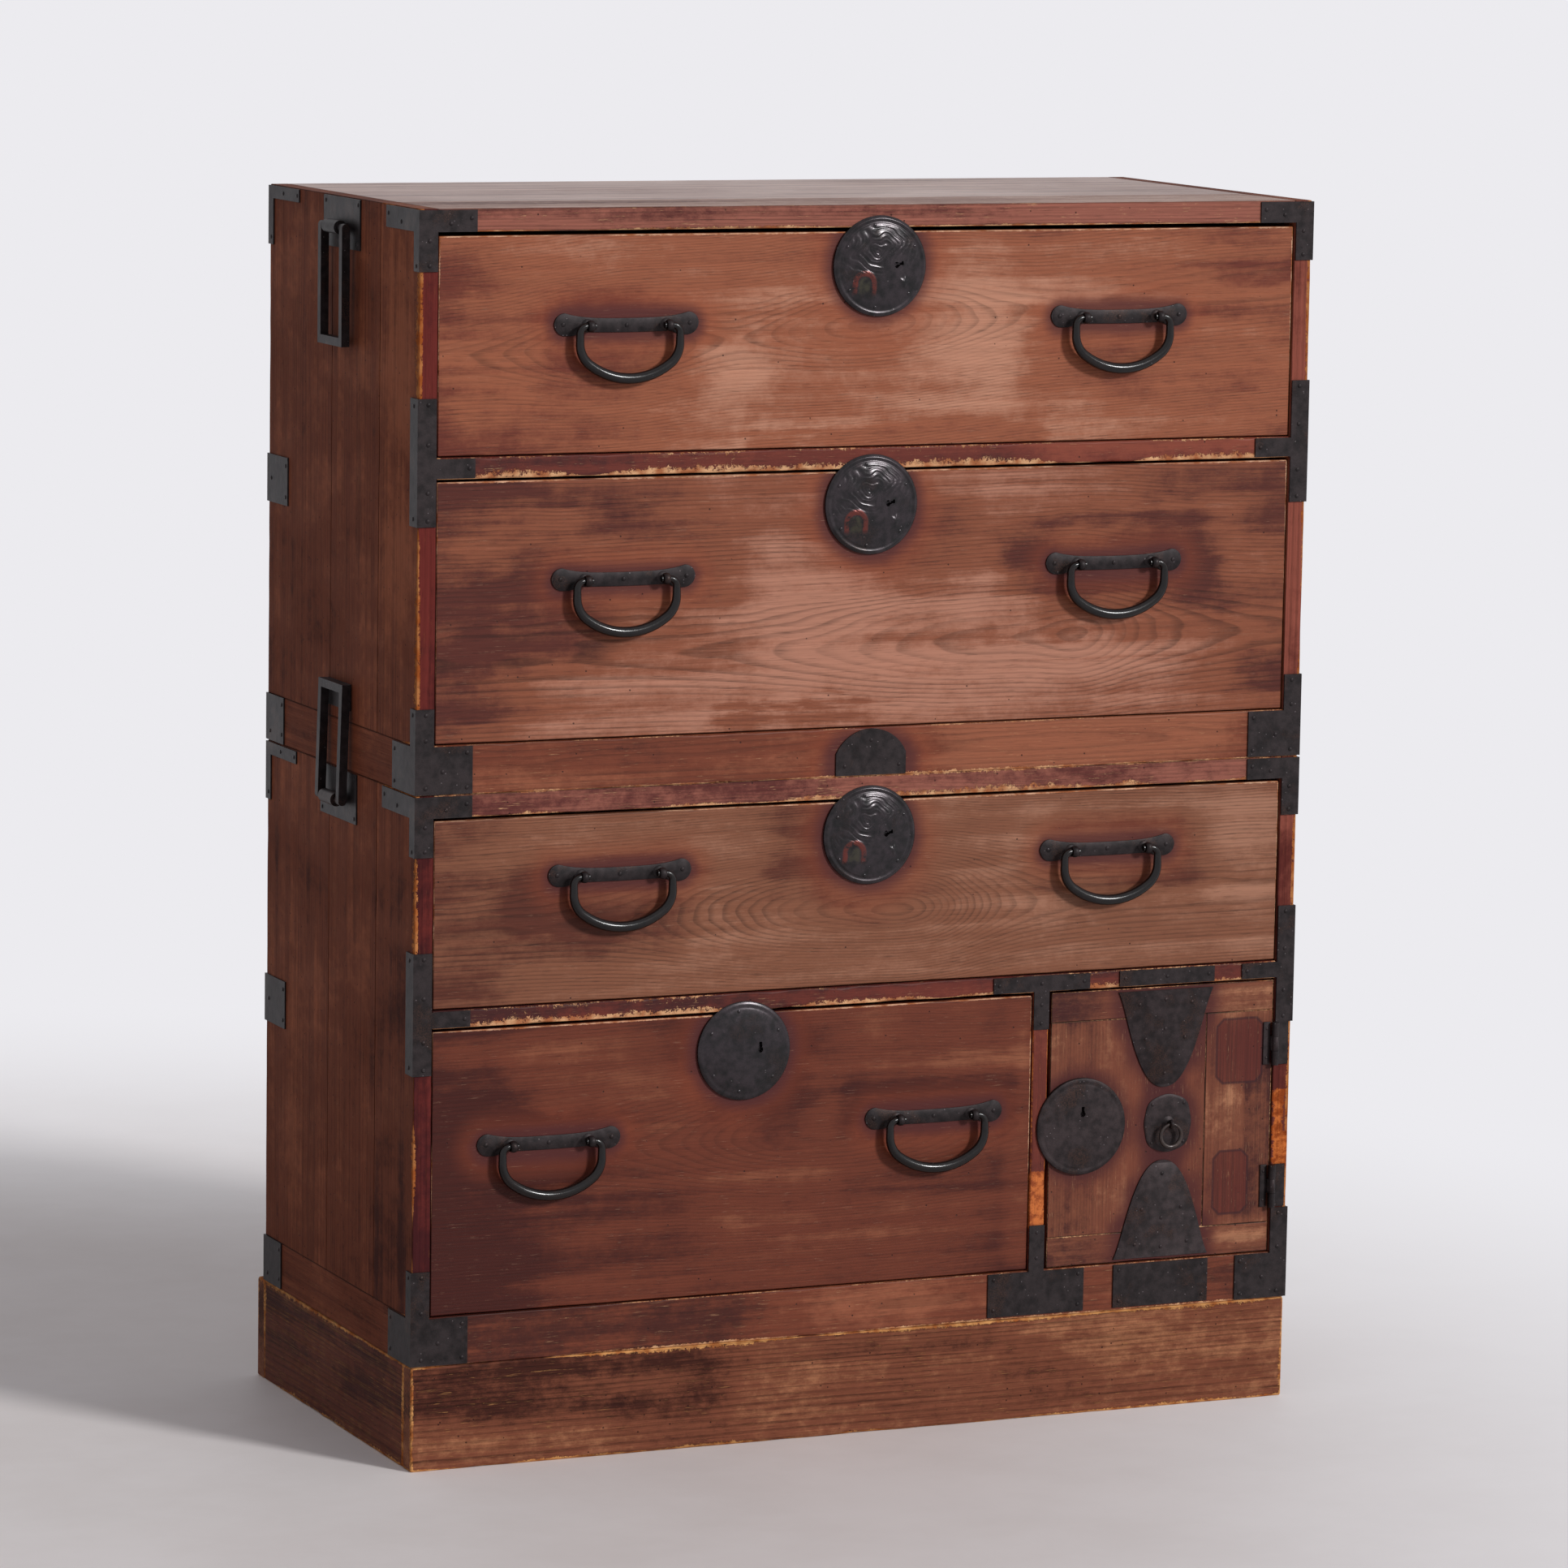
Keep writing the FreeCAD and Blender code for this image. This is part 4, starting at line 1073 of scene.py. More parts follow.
@dataclass
class Plinth:
    """The loose base that the lower case stands on."""

    finish: WoodFinish = WoodFinish(
        "plinth_lacquer", light=tone(156, 104, 74), middle=tone(112, 64, 46), deep=tone(60, 29, 22),
        grain=Grain(ring=0.003, vein=0.4, fibre=1.2, wander=0.3),
        wear=Wear(0.0022, 0.0014, seam=0.3, bare=tone(196, 142, 88), raw=tone(150, 86, 44)),
        age=0.47, cloud=1.3, grime=1.1, specks=0.7, scratches=0.4, matt=0.6, shine=0.08,
        blots_and_painted_light=blot_rows(
            (-0.3, 0.066, 0.14, 0.012, 0, 0.05, 0.34), (0.08, 0.08, 0.1, 0, 0, 0.04, 0.14),
            (0.36, 0.06, 0.08, 0.02, 0, 0.05, -0.16), (0, 0.022, 0.46, 0, 0, 0.016, -0.12)),
        combed=(Patch(-0.480, -0.452, 0.002, 0.098), Patch(0.455, 0.480, 0.002, 0.098)))

    def build(self) -> None:
        """Makes the four boards and the brace."""
        material = self.finish.material()
        for seed, node in enumerate(("plinth_front", "plinth_rear"), 11):
            low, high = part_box(node)
            board = Board(low, high, Axis.LEVEL_FRONT, seed, ease=0.0018, chip=0.003, heart=0.16,
                          off_heart=0.1)
            piece(f"{node}_board", [board.skin()], material, "plinth", [node])
        low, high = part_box("plinth_ends")
        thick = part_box("plinth_front")[1].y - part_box("plinth_front")[0].y
        spans = ((low.x, low.x + thick), (high.x - thick, high.x))
        ends = [Board((left, low.y, low.z), (right, high.y, high.z), Axis.LEVEL_SIDE, 13 + index,
                      ease=0.0018, chip=0.0025, heart=0.16, off_heart=0.1).skin()
                for index, (left, right) in enumerate(spans)]
        # Painted shade: the end boards take a darker copy of the plinth's finish.
        shaded = replace(self.finish, name="plinth_end_painted_shade", light=tone(122, 70, 50),
                         middle=tone(90, 46, 34), deep=tone(54, 24, 20)).material()
        piece("plinth_end_boards", ends, shaded, "plinth", ["plinth_ends"])
        brace = Board(*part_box("plinth_brace"), Axis.DEEP_TOP, 15)
        piece("plinth_brace_board", [brace.skin()], material, "plinth",
              ["plinth_brace"])


@dataclass
class Case:
    """One of the two cases: its boards and their seams."""

    name: str
    seed: int
    top_drawer: int
    side_seams: tuple[float, ...] = (-0.100, 0.028)
    top_seams: tuple[float, ...] = (-0.095, 0.055)
    back_seams: tuple[float, ...] = (0.35, 0.7)
    side_finish: WoodFinish = WoodFinish(
        "side_lacquer", light=tone(136, 78, 53), middle=tone(102, 54, 37), deep=tone(56, 26, 21),
        grain=Grain(vein=0.25, fibre=0.9, wander=0.4), wear=Wear(seam=0.6, line=0.0), age=0.46,
        cloud=1.5, streak=1.2, grime=0.7, matt=0.62, shine=0.04)
    base_finish: WoodFinish = WoodFinish(
        "base_lacquer", light=tone(140, 82, 58), middle=tone(108, 54, 36), deep=tone(66, 28, 21),
        grain=Grain(vein=0.25), wear=Wear(0.0009, 0.0005, lean=0.5), age=0.47, grime=0.8,
        specks=0.4, scratches=0.35)
    rail_finish: WoodFinish = WoodFinish(
        "rail_lacquer", light=tone(126, 62, 46), middle=tone(98, 42, 33), deep=tone(62, 25, 24),
        grain=Grain(vein=0.1, fibre=0.5), wear=Wear(0.0044, 0.0007, lean=0.86), age=0.58,
        grime=1.0, specks=0.35, scratches=0.5,
        blots_and_painted_light=blot_rows((0.3, 0.935, 0.1, 0.02, 0, 0.08, -0.55), (-0.3, 0.425, 0.3, 0.02, 0, 0.1, 0.16)))
    # The top's pale grey-pink is partly bleached wood and partly painted sheen: the light that a
    # lacquered top reflects at a grazing angle.
    top_finish: WoodFinish = WoodFinish(
        "pale_top_with_painted_sheen", light=tone(190, 162, 150), middle=tone(162, 134, 124),
        deep=tone(112, 88, 82), grain=Grain(vein=0.35, fibre=1.1, wander=0.4),
        wear=Wear(seam=0.4, line=0.0), age=0.4, cloud=1.4, streak=2.2, matt=0.46, shine=0.5,
        specks=0.4)
    raw_finish: WoodFinish = WoodFinish(
        "back_wood", light=tone(172, 132, 96), middle=tone(146, 106, 74), deep=tone(112, 78, 56),
        grain=Grain(vein=0.3), wear=Wear(line=0.0), matt=0.65)

    @property
    def body(self) -> str:
        """The body that carries the case."""
        return f"{self.name}_case"

    @property
    def face(self) -> float:
        """The depth of the case's front face."""
        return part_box(f"{self.name}_base_boards")[0].y

    def build(self) -> None:
        """Makes the sides, base, rail, top and back."""
        side = self.side_finish.material()
        self._sides(side)
        self._base(side)
        self._rail()
        self._lid()
        node = f"{self.name}_back"
        low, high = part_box(node)
        seams = tuple(low.z + share * (high.z - low.z) for share in self.back_seams)
        panels = self._strips(node, 2, seams, Axis.LEVEL_FRONT, 50)
        piece(f"{node}_boards", panels, self.raw_finish.material(), self.body,
              [node])

    def _sides(self, side: bpy.types.Material) -> None:
        """Makes the side boards; the front one of each side has a lacquered front edge.

        Args:
            side: The finish of the other boards.
        """
        # Painted highlight: high up, the front boards are faded paler; low down they are darker.
        front = replace(
            self.side_finish, front_edge=self.face,
            blots_and_painted_light=blot_rows((0, 0.98, 1, 0.16, 0, 0.12, -0.24), (0, 0.3, 1, 0.16, 0, 0.12, 0.2)),
            wear=Wear(0.0032, 0.0004, lean=1.0, beyond=0.4505, bare=tone(172, 112, 66),
                      raw=tone(146, 76, 34)),
            bare_spots=blot_rows((0.4435, 0.27, 0, 0.032, 0.004, 0.002, 1),
                              (0.448, 0.246, 0.003, 0.012, 0.004, 0.002, 1)))
        reds = ((tone(98, 40, 36), tone(62, 26, 28)), (tone(132, 72, 60), tone(84, 38, 34)))
        for index, word in enumerate(("left", "right")):
            node = f"{self.name}_{word}_side"
            boards = self._strips(node, 1, self.side_seams, Axis.UPRIGHT_SIDE, 20 + 5 * index)
            stile = replace(front, name=f"{word}_stile_lacquer", edge_light=reds[index][0],
                            edge_deep=reds[index][1]).material()
            piece(f"{node}_front_board", boards[:1], stile, self.body,
                  [node])
            piece(f"{node}_boards", boards[1:], side, self.body, [node])

    def _rail(self) -> None:
        """Makes the rail between the case's two rows of drawers."""
        node = f"{self.name}_mid_rail"
        board = Board(*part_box(node), Axis.LEVEL_FRONT, self.seed + 40, chip=0.003, heart=0.08,
                      pocket=self._mortise(node, self.top_drawer + 1))
        piece(f"{node}_board", [board.skin()], self.rail_finish.material(), self.body,
              [node])

    def _lid(self) -> None:
        """Makes the top boards; the front one has a lacquered front edge."""
        node = f"{self.name}_top"
        planks = self._strips(node, 1, self.top_seams, Axis.LEVEL_TOP, 45)
        finish = self.top_finish if self.name == "upper" else self.raw_finish
        worn = 0.0009 if self.name == "upper" else 0.0034
        edge = replace(
            finish, name=f"{self.name}_{finish.name}_edge", front_edge=self.face,
            edge_light=tone(140, 84, 70), edge_deep=tone(86, 40, 36), grime=1.3, matt=0.65,
            shine=0.16, wear=Wear(worn, 0.0004, lean=0.8), scratches=0.7, specks=0.5,
            blots_and_painted_light=blot_rows((0.3, 1.16, 0.12, 0.01, 0, 0.1, -0.2), (-0.3, 1.16, 0.1, 0.01, 0, 0.1, 0.16),
                         (-0.3, 0.62, 0.2, 0.01, 0, 0.1, 0.2)))
        low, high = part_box(node)
        plank = Board(low, (high.x, self.top_seams[0], high.z), Axis.LEVEL_FRONT, self.seed + 45,
                      ease=0.0008, heart=0.04, off_heart=-0.02,
                      pocket=self._mortise(node, self.top_drawer)).skin()
        piece(f"{node}_boards", planks[1:], finish.material(), self.body, [node])
        piece(f"{node}_front_board", [plank], edge.material(), self.body, [node])

    def _mortise(self, node: str, drawer: int) -> Pocket:
        """The hole in a rail's underside that the lock bolt of the drawer below rises into."""
        return Pocket(f"drawer_{drawer}_bolt", MORTISE_CLEAR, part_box(node)[0].z + MORTISE_DEPTH,
                      -1)

    def _strips(self, node: str, axis: int, seams: Sequence[float], order: Axis,
                seed: int) -> list[Skin]:
        """Cuts a node's box at its seams into boards laid edge to edge.

        Args:
            node: The frame's node.
            axis: The direction across the boards.
            seams: Where one board meets the next.
            order: The boards' grain.
            seed: The first board's seed.

        Returns:
            One surface for each board.
        """
        low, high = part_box(node)
        places = [low[axis], *seams, high[axis]]
        skins = []
        for index, (start, end) in enumerate(zip(places, places[1:])):
            first, last = low.copy(), high.copy()
            first[axis], last[axis] = start, end
            skins.append(Board(first, last, order, self.seed + seed + index, ease=0.0008,
                               heart=0.04 + 0.02 * index, off_heart=0.03 * index - 0.02).skin())
        return skins

    def _base(self, side: bpy.types.Material) -> None:
        """Makes the front and end boards at the foot of the case.

        Args:
            side: The finish of the end boards.
        """
        node = f"{self.name}_base_boards"
        low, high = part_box(node)
        thick = high.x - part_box(f"{self.name}_top")[1].x
        behind = low.y + thick
        front = Board(low, (high.x, behind, high.z), Axis.LEVEL_FRONT, self.seed + 30,
                      chip=0.002, heart=0.03)
        ends = [Board((left, behind, low.z), (right, high.y, high.z), Axis.LEVEL_SIDE,
                      self.seed + 31 + index)
                for index, (left, right) in enumerate(((low.x, low.x + thick),
                                                       (high.x - thick, high.x)))]
        finish = self.base_finish
        if self.name == "upper":
            finish = replace(
                finish, name="upper_base_lacquer",
                outlines=blot_rows((0.001, low.z, 0.016, 0.012, 0.026, 0.018, 0.8)),
                blots_and_painted_light=blot_rows((0.24, low.z + 0.024, 0.12, 0.01, 0, 0.08, -0.5),
                             (0.4, low.z + 0.02, 0.02, 0.02, 0, 0.04, 0.2)))
        else:
            finish = replace(finish, age=0.53, blots_and_painted_light=blot_rows(
                (-0.28, low.z + 0.02, 0.12, 0.01, 0, 0.08, 0.3),
                (0.02, low.z + 0.02, 0.04, 0.01, 0, 0.05, -0.2)))
        piece(f"{self.name}_base_front", [front.skin()], finish.material(), self.body,
              [node])
        piece(f"{self.name}_base_ends", [end.skin() for end in ends], side, self.body,
              [node])


@dataclass
class Partition:
    """The upright between the wide lower drawer and the cupboard, and the cupboard's frame."""

    finish: WoodFinish = replace(
        Case.rail_finish, name="stile_lacquer",
        wear=Wear(0.0006, 0.0005, bare=tone(186, 108, 52), raw=tone(140, 66, 26)),
        bare_spots=blot_rows((0.185, 0.214, 0.005, 0.022, 0.004, 0.002, 1)), specks=0.8)

    def build(self) -> None:
        """Makes the stile and the panel behind it."""
        node = "lower_partition"
        low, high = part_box(node)
        rail_low, rail_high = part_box("lower_mid_rail")
        shelf_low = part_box("lower_shelf")[0]
        stile = Board(low, (high.x, rail_high.y, rail_low.z), Axis.UPRIGHT_FRONT, 61, chip=0.002,
                      pocket=Pocket("door_bolt", MORTISE_CLEAR, high.x - MORTISE_DEPTH, 1))
        panel = Board((low.x, rail_high.y, low.z), (high.x, high.y, shelf_low.z),
                      Axis.UPRIGHT_SIDE, 62)
        piece("divider_stile", [stile.skin()], self.finish.material(), "lower_case",
              [node])
        piece("divider_panel", [panel.skin()], Case.raw_finish.material(), "lower_case",
              [node])


@dataclass
class LockPlate:
    """A round lock plate: raised rim, low dome, chased clouds, keyhole and nails."""

    x: float
    z: float
    face: float
    lap: float
    lap_above: float
    lap_left: float = -10.0
    radius: float = 0.047
    crown: float = 0.0074
    dome: float = 0.0044
    chased: bool = True
    keyhole: tuple[float, float] = (0.015, 0.001)

    def skin(self) -> Skin:
        """Works out the plate.

        A disc of rings is raised by a dome, a rim near its edge and the chasing; the back is
        flat, and stands further out where it laps over the next board.

        Returns:
            The surface.
        """
        radii = np.concatenate([np.linspace(0.0006, self.radius - 0.0006, 74),
                                [self.radius, self.radius, self.radius - 0.0006]])
        angle = full_turn(150)
        flat_x = radii[:, None] * np.cos(angle)
        flat_z = radii[:, None] * np.sin(angle)
        share = radii[:, None] / self.radius
        lift = self.crown - self.dome * share ** 2.4 + 0 * flat_x
        rim = 1.0 if self.chased else 0.25
        lift += rim * 0.0007 * np.exp(-((radii[:, None] - 0.0443) / 0.0012) ** 2)
        lift -= rim * 0.0004 * np.exp(-((radii[:, None] - 0.0412) / 0.001) ** 2)
        lift += self.relief(flat_x, flat_z)
        out = self.face - lift
        laps = (flat_z + self.z > self.lap_above) | (flat_x + self.x < self.lap_left)
        back = np.where(laps, self.lap, self.face)
        out[-3] = self.face - self.crown + self.dome + 0.0005
        out[-2:] = back[-2:]
        return loft(np.stack([flat_x + self.x, out, flat_z + self.z], axis=-1))

    def relief(self, x: np.ndarray, z: np.ndarray) -> np.ndarray:
        """How far the chasing stands out at a place on the plate.

        Clouds are curling grooves: the sine of the distance from a point, with the places bent
        by slower sines first, over a few low lumps. The keyhole is a deep round with a slot
        beside it, a flower is a knob with five petals, and an arch is a raised band.

        Args:
            x, z: Places on the plate, from its middle.

        Returns:
            The height of the relief there.
        """
        height = np.zeros_like(x)
        if self.chased:
            across, up = x / MM, z / MM
            bent_x = across + 4.2 * np.sin(up / 6.1 + 0.7) + 1.8 * np.sin(up / 2.9 - across / 7)
            bent_z = up + 3.6 * np.sin(across / 5.3 + 1.9) + 1.6 * np.sin(across / 3.1 + up / 8)
            curls = np.sin(np.hypot(bent_x + 5, bent_z - 17) * 0.95)
            chased = np.hypot(x, z) / self.radius < 0.84
            faded = 1 / (1 + np.exp(-(up + 4 - 0.25 * across) / 3)) * chased
            height += faded * (2.6e-4 * (1 - np.abs(curls) ** 0.6) - 2.6e-4 * (curls > 0) * curls)
            for lump_x, lump_z, size, rise in ((-3, 27, 10, 12), (-20, 14, 9, 6), (18, 19, 10, 7)):
                away = np.hypot(x - lump_x * MM, z - lump_z * MM) / (size * MM)
                height += rise * 1e-4 * np.exp(-1.6 * away ** 2)
            from_x, from_z = x - 23 * MM, z + 15 * MM
            away, turn = np.hypot(from_x, from_z), np.arctan2(from_z, from_x)
            petals = 4 * MM * (1 + 0.25 * np.cos(5 * turn))
            height += 9e-4 * np.exp(-(away / petals) ** 4) + 5e-4 * np.exp(-(away / 1.2e-3) ** 2)
            arch = np.hypot(x + 17 * MM, np.maximum(z + 16 * MM, 0))
            upper = z + 16 * MM > -9 * MM
            height += upper * 5e-4 * np.exp(-((arch - 9.5 * MM) / 2.4e-3) ** 4)
        key_x, key_z = x - self.keyhole[0], z - self.keyhole[1]
        round_hole = np.hypot(key_x, key_z) < 2.4 * MM
        slot = (np.abs(key_z - 0.25 * key_x) < 1.1 * MM) & (key_x > 0) & (key_x < 7 * MM)
        if not self.chased:
            slot = (np.abs(key_x) < 1.2 * MM) & (key_z > 0) & (key_z < 7 * MM)
        return np.where(round_hole | slot, -4.2 * MM, height)

    def nails(self) -> list[Skin]:
        """Nail heads round the plate, inside its rim.

        Returns:
            The surfaces.
        """
        turns = np.radians([28, 100, 152, 215, 262, 318])
        away = self.radius - 0.0085
        face = self.face - self.crown + self.dome * (away / self.radius) ** 2.4
        return front_nails((self.x, self.z), away * np.stack([np.cos(turns), np.sin(turns)], -1),
                           face, 0.0018)


@dataclass
class Handle:
    """A drawer handle: back plate, two eye posts and the bail that hangs in them."""

    x: float
    z: float
    pull: float
    face: float
    plate_reach: float = 0.061
    end_radius: float = 0.0105
    neck: float = 0.0065
    plate_thick: float = 0.0015
    post_place: float = 0.039
    post_radius: float = 0.0055
    pin_radius: float = 0.003
    pin_end: float = 0.034
    half_width: float = 0.0495
    elbow: float = 0.007
    leg: float = 0.009
    corner: float = 0.024
    sag: float = 0.0325
    thick: float = 0.0052

    def plate(self) -> Skin:
        """The back plate: a narrow neck that swells into a round at each end.

        Its upper edge is a shallow hollow and its lower edge steps down at the lobes; both
        close on the circle at each end.

        Returns:
            The surface.
        """
        end = self.plate_reach + self.end_radius
        turn = np.linspace(0, math.pi / 2, 10)
        tip = self.plate_reach + self.end_radius * np.sin(turn)
        stations = np.concatenate([-tip[:0:-1], np.linspace(-tip[0], tip[0], 60), tip[1:]])
        share = np.minimum(np.abs(stations) / self.plate_reach, 1.0)
        round_off = np.sqrt(np.clip(1 - (np.maximum(np.abs(stations) - self.plate_reach, 0)
                                         / self.end_radius) ** 2, 0.012, 1))
        lobe = self.end_radius - self.neck
        upper = (self.neck + lobe * share ** 4) * round_off
        step = np.clip((share - 0.68) / 0.24, 0, 1)
        lower = (self.neck + lobe * step ** 2 * (3 - 2 * step)) * round_off
        bend = 0.0014 * (stations / end) ** 2
        rings, _ = bar_rings(stations, bend + (upper - lower) / 2, (upper + lower) / 2,
                             np.full(len(stations), self.plate_thick / 2),
                             SHEET_EASE, arc=3)
        skin = loft(rings)
        along, side, through = skin.points.T
        skin.points = np.stack([self.x + along, self.face - self.plate_thick / 2 + through,
                                self.z + side], axis=-1)
        return skin.outward()

    def posts(self) -> list[Skin]:
        """Two posts, each a rounded eye on a flared neck, and a washer on the plate.

        Returns:
            The surfaces.
        """
        skins = []
        inner, outer, half = self.pin_radius + PIN_CLEAR, self.post_radius, 0.003
        eye = [(inner, -half), (inner, half), (0.8 * outer, half), (0.95 * outer, 0.7 * half),
               (outer, 0.2 * half), (outer, -0.2 * half), (0.95 * outer, -0.7 * half),
               (0.8 * outer, -half)]
        depth = self.face - self.plate_thick - self.pull
        neck = [(0.0022, inner), (0.0024, 0.6 * depth), (0.0034, 0.86 * depth),
                (0.0056, 0.93 * depth), (0.0062, depth), (0.002, depth + 0.0002)]
        for side in (-1, 1):
            spot = (self.x + side * self.post_place, self.pull, self.z)
            skins.append(turned(eye, spot, 0, sides=28, closed=True))
            skins.append(turned(neck, spot, 1, sides=16))
        return skins

    def nails(self) -> list[Skin]:
        """Nail heads at both ends of the plate and in its middle.

        Returns:
            The surfaces.
        """
        places = [(share * self.plate_reach, 0.0012 * abs(share)) for share in (-1.03, 0, 1.03)]
        return front_nails((self.x, self.z), places, self.face - self.plate_thick)

    def bail(self) -> Skin:
        """The bail: a pin through each eye, an elbow, a leg and a grip that thickens below.

        The middle line is straight lengths and arcs laid end to end. The radius grows from the
        pin's to the grip's as the sine of the way along.

        Returns:
            The surface.
        """
        slope = 2 * math.atan((self.sag - self.corner) / (self.half_width - self.corner))
        turn = math.pi / 2 - slope
        grip = self.corner + (self.half_width - self.corner) / math.cos(turn)
        pin = self.half_width - self.elbow - self.pin_end
        moves = [(pin, 0), (math.pi / 2, self.elbow), (self.leg, 0), (turn, self.corner),
                 (2 * slope, grip), (turn, self.corner), (self.leg, 0),
                 (math.pi / 2, self.elbow), (pin, 0)]
        spot, heading, lines = np.array([-self.pin_end, 0.0]), math.pi, []
        for amount, bend in moves:
            step = np.linspace(0, 1, 4 if bend == 0 else 14)[1:, None] * amount
            if bend == 0:
                line = spot + step * np.array([math.cos(heading), math.sin(heading)])
            else:
                centre = spot + bend * np.array([-math.sin(heading), math.cos(heading)])
                angle = heading - math.pi / 2 + step
                line = centre + bend * np.hstack([np.cos(angle), np.sin(angle)])
                heading += amount
            spot = line[-1]
            lines.append(line)
        flat = np.vstack([[[-self.pin_end, 0.0]], *lines])
        way = np.concatenate([[0], np.cumsum(np.linalg.norm(np.diff(flat, axis=0), axis=1))])
        swell = np.sin(math.pi * np.clip((way / way[-1] - 0.05) / 0.9, 0, 1)) ** 0.7
        radius = self.pin_radius - PIN_CLEAR + (self.thick - self.pin_radius) * swell
        path = np.stack([self.x + flat[:, 0], np.full(len(flat), self.pull),
                         self.z + flat[:, 1]], axis=-1)
        return rod(path, (0, 1, 0), radius, flat=0.92, sides=18)


@dataclass
class Drawer:
    """A wide drawer: its front, the tray, the irons on the front and the two bails."""

    number: int
    light: Colour
    middle: Colour
    deep: Colour
    grain: Grain
    heart: float
    off_heart: float
    blots_and_painted_light: tuple[Blot, ...]
    age: float = 0.5
    chased: bool = True

    def build(self) -> None:
        """Makes the drawer's pieces and dresses its tray and bolt."""
        name = f"drawer_{self.number}"
        front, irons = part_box(f"{name}_front"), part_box(f"{name}_fittings")
        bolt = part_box(f"{name}_bolt")
        plate = LockPlate(x=(bolt[0].x + bolt[1].x) / 2, z=irons[1].z - LockPlate.radius,
                          face=front[0].y, lap=front[0].y - PLATE_LAP,
                          lap_above=front[1].z - LAP_GAP, chased=self.chased)
        handles = {word: self._handle(f"{name}_{word}_bail", front[0].y)
                   for word in ("left", "right")}
        outlines = blot_rows((plate.x, plate.z, 0, 0, plate.radius, 0.018, 0.8),
                          *((handle.x, handle.z, handle.plate_reach, 0, 0.0095, 0.014, 0.75)
                            for handle in handles.values()))
        # The pale line worn along the front's top edge is bare wood, and also painted highlight on
        # the rounded top edge.
        finish = WoodFinish(
            f"{name}_lacquer", light=self.light, middle=self.middle, deep=self.deep,
            grain=self.grain, wear=Wear(0.0003, 0.0005, lean=-0.9, bare=tone(216, 170, 138)),
            age=self.age, specks=0.16, outlines=outlines, blots_and_painted_light=self.blots_and_painted_light, bare_back=True)
        board = Board(*front, Axis.LEVEL_FRONT, 70 + self.number, ease=0.0012, chip=0.001,
                      heart=self.heart, off_heart=self.off_heart,
                      pocket=Pocket(f"{name}_bolt", SLOT_CLEAR, bolt[0].z - SLOT_CLEAR, 1))
        piece(f"{name}_board", [board.skin()], finish.material(), name,
              [f"{name}_front"])
        black = IronFinish(f"{name}_iron").material()
        copper = ((plate.x - 0.017, plate.z - 0.016),) if self.chased else ()
        shining = IronFinish(f"{name}_lock_iron", dark=tone(11, 8, 10), pale=tone(44, 36, 40),
                             rust=tone(44, 28, 25), matt=0.28, metal=0.6, coat=0.35,
                             hammered=1.8e-4, glints=0.05, copper=copper).material()
        piece(f"{name}_lock_plate", [plate.skin(), *plate.nails()], shining, name,
              [f"{name}_fittings"])
        skins = []
        for handle in handles.values():
            skins += [handle.plate(), *handle.posts(), *handle.nails()]
        piece(f"{name}_irons", skins, black, name, [f"{name}_fittings"])
        glossy = IronFinish("bail_iron", dark=tone(6, 4, 4), pale=tone(18, 11, 10),
                            rust=tone(30, 16, 12), matt=0.21, metal=0.0, shine=0.32,
                            hammered=5e-5, glints=0.0).material()
        for word, handle in handles.items():
            node = f"{name}_{word}_bail"
            piece(f"{node}_rod", [handle.bail()], glossy, node, [node])
        dress([f"{name}_tray"], PlanedFinish(f"{name}_tray_wood", 0).material())
        dress([f"{name}_bolt"], IronFinish(f"{name}_bolt_iron", pale=tone(104, 98, 96)).material())

    def _handle(self, node: str, face: float) -> Handle:
        """The handle whose bail is a node of the frame.

        Args:
            node: The bail's node.
            face: The front's face.

        Returns:
            The handle.
        """
        low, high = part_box(node)
        return Handle(x=(low.x + high.x) / 2, z=high.z - Handle.pin_radius,
                      pull=(low.y + high.y) / 2, face=face)


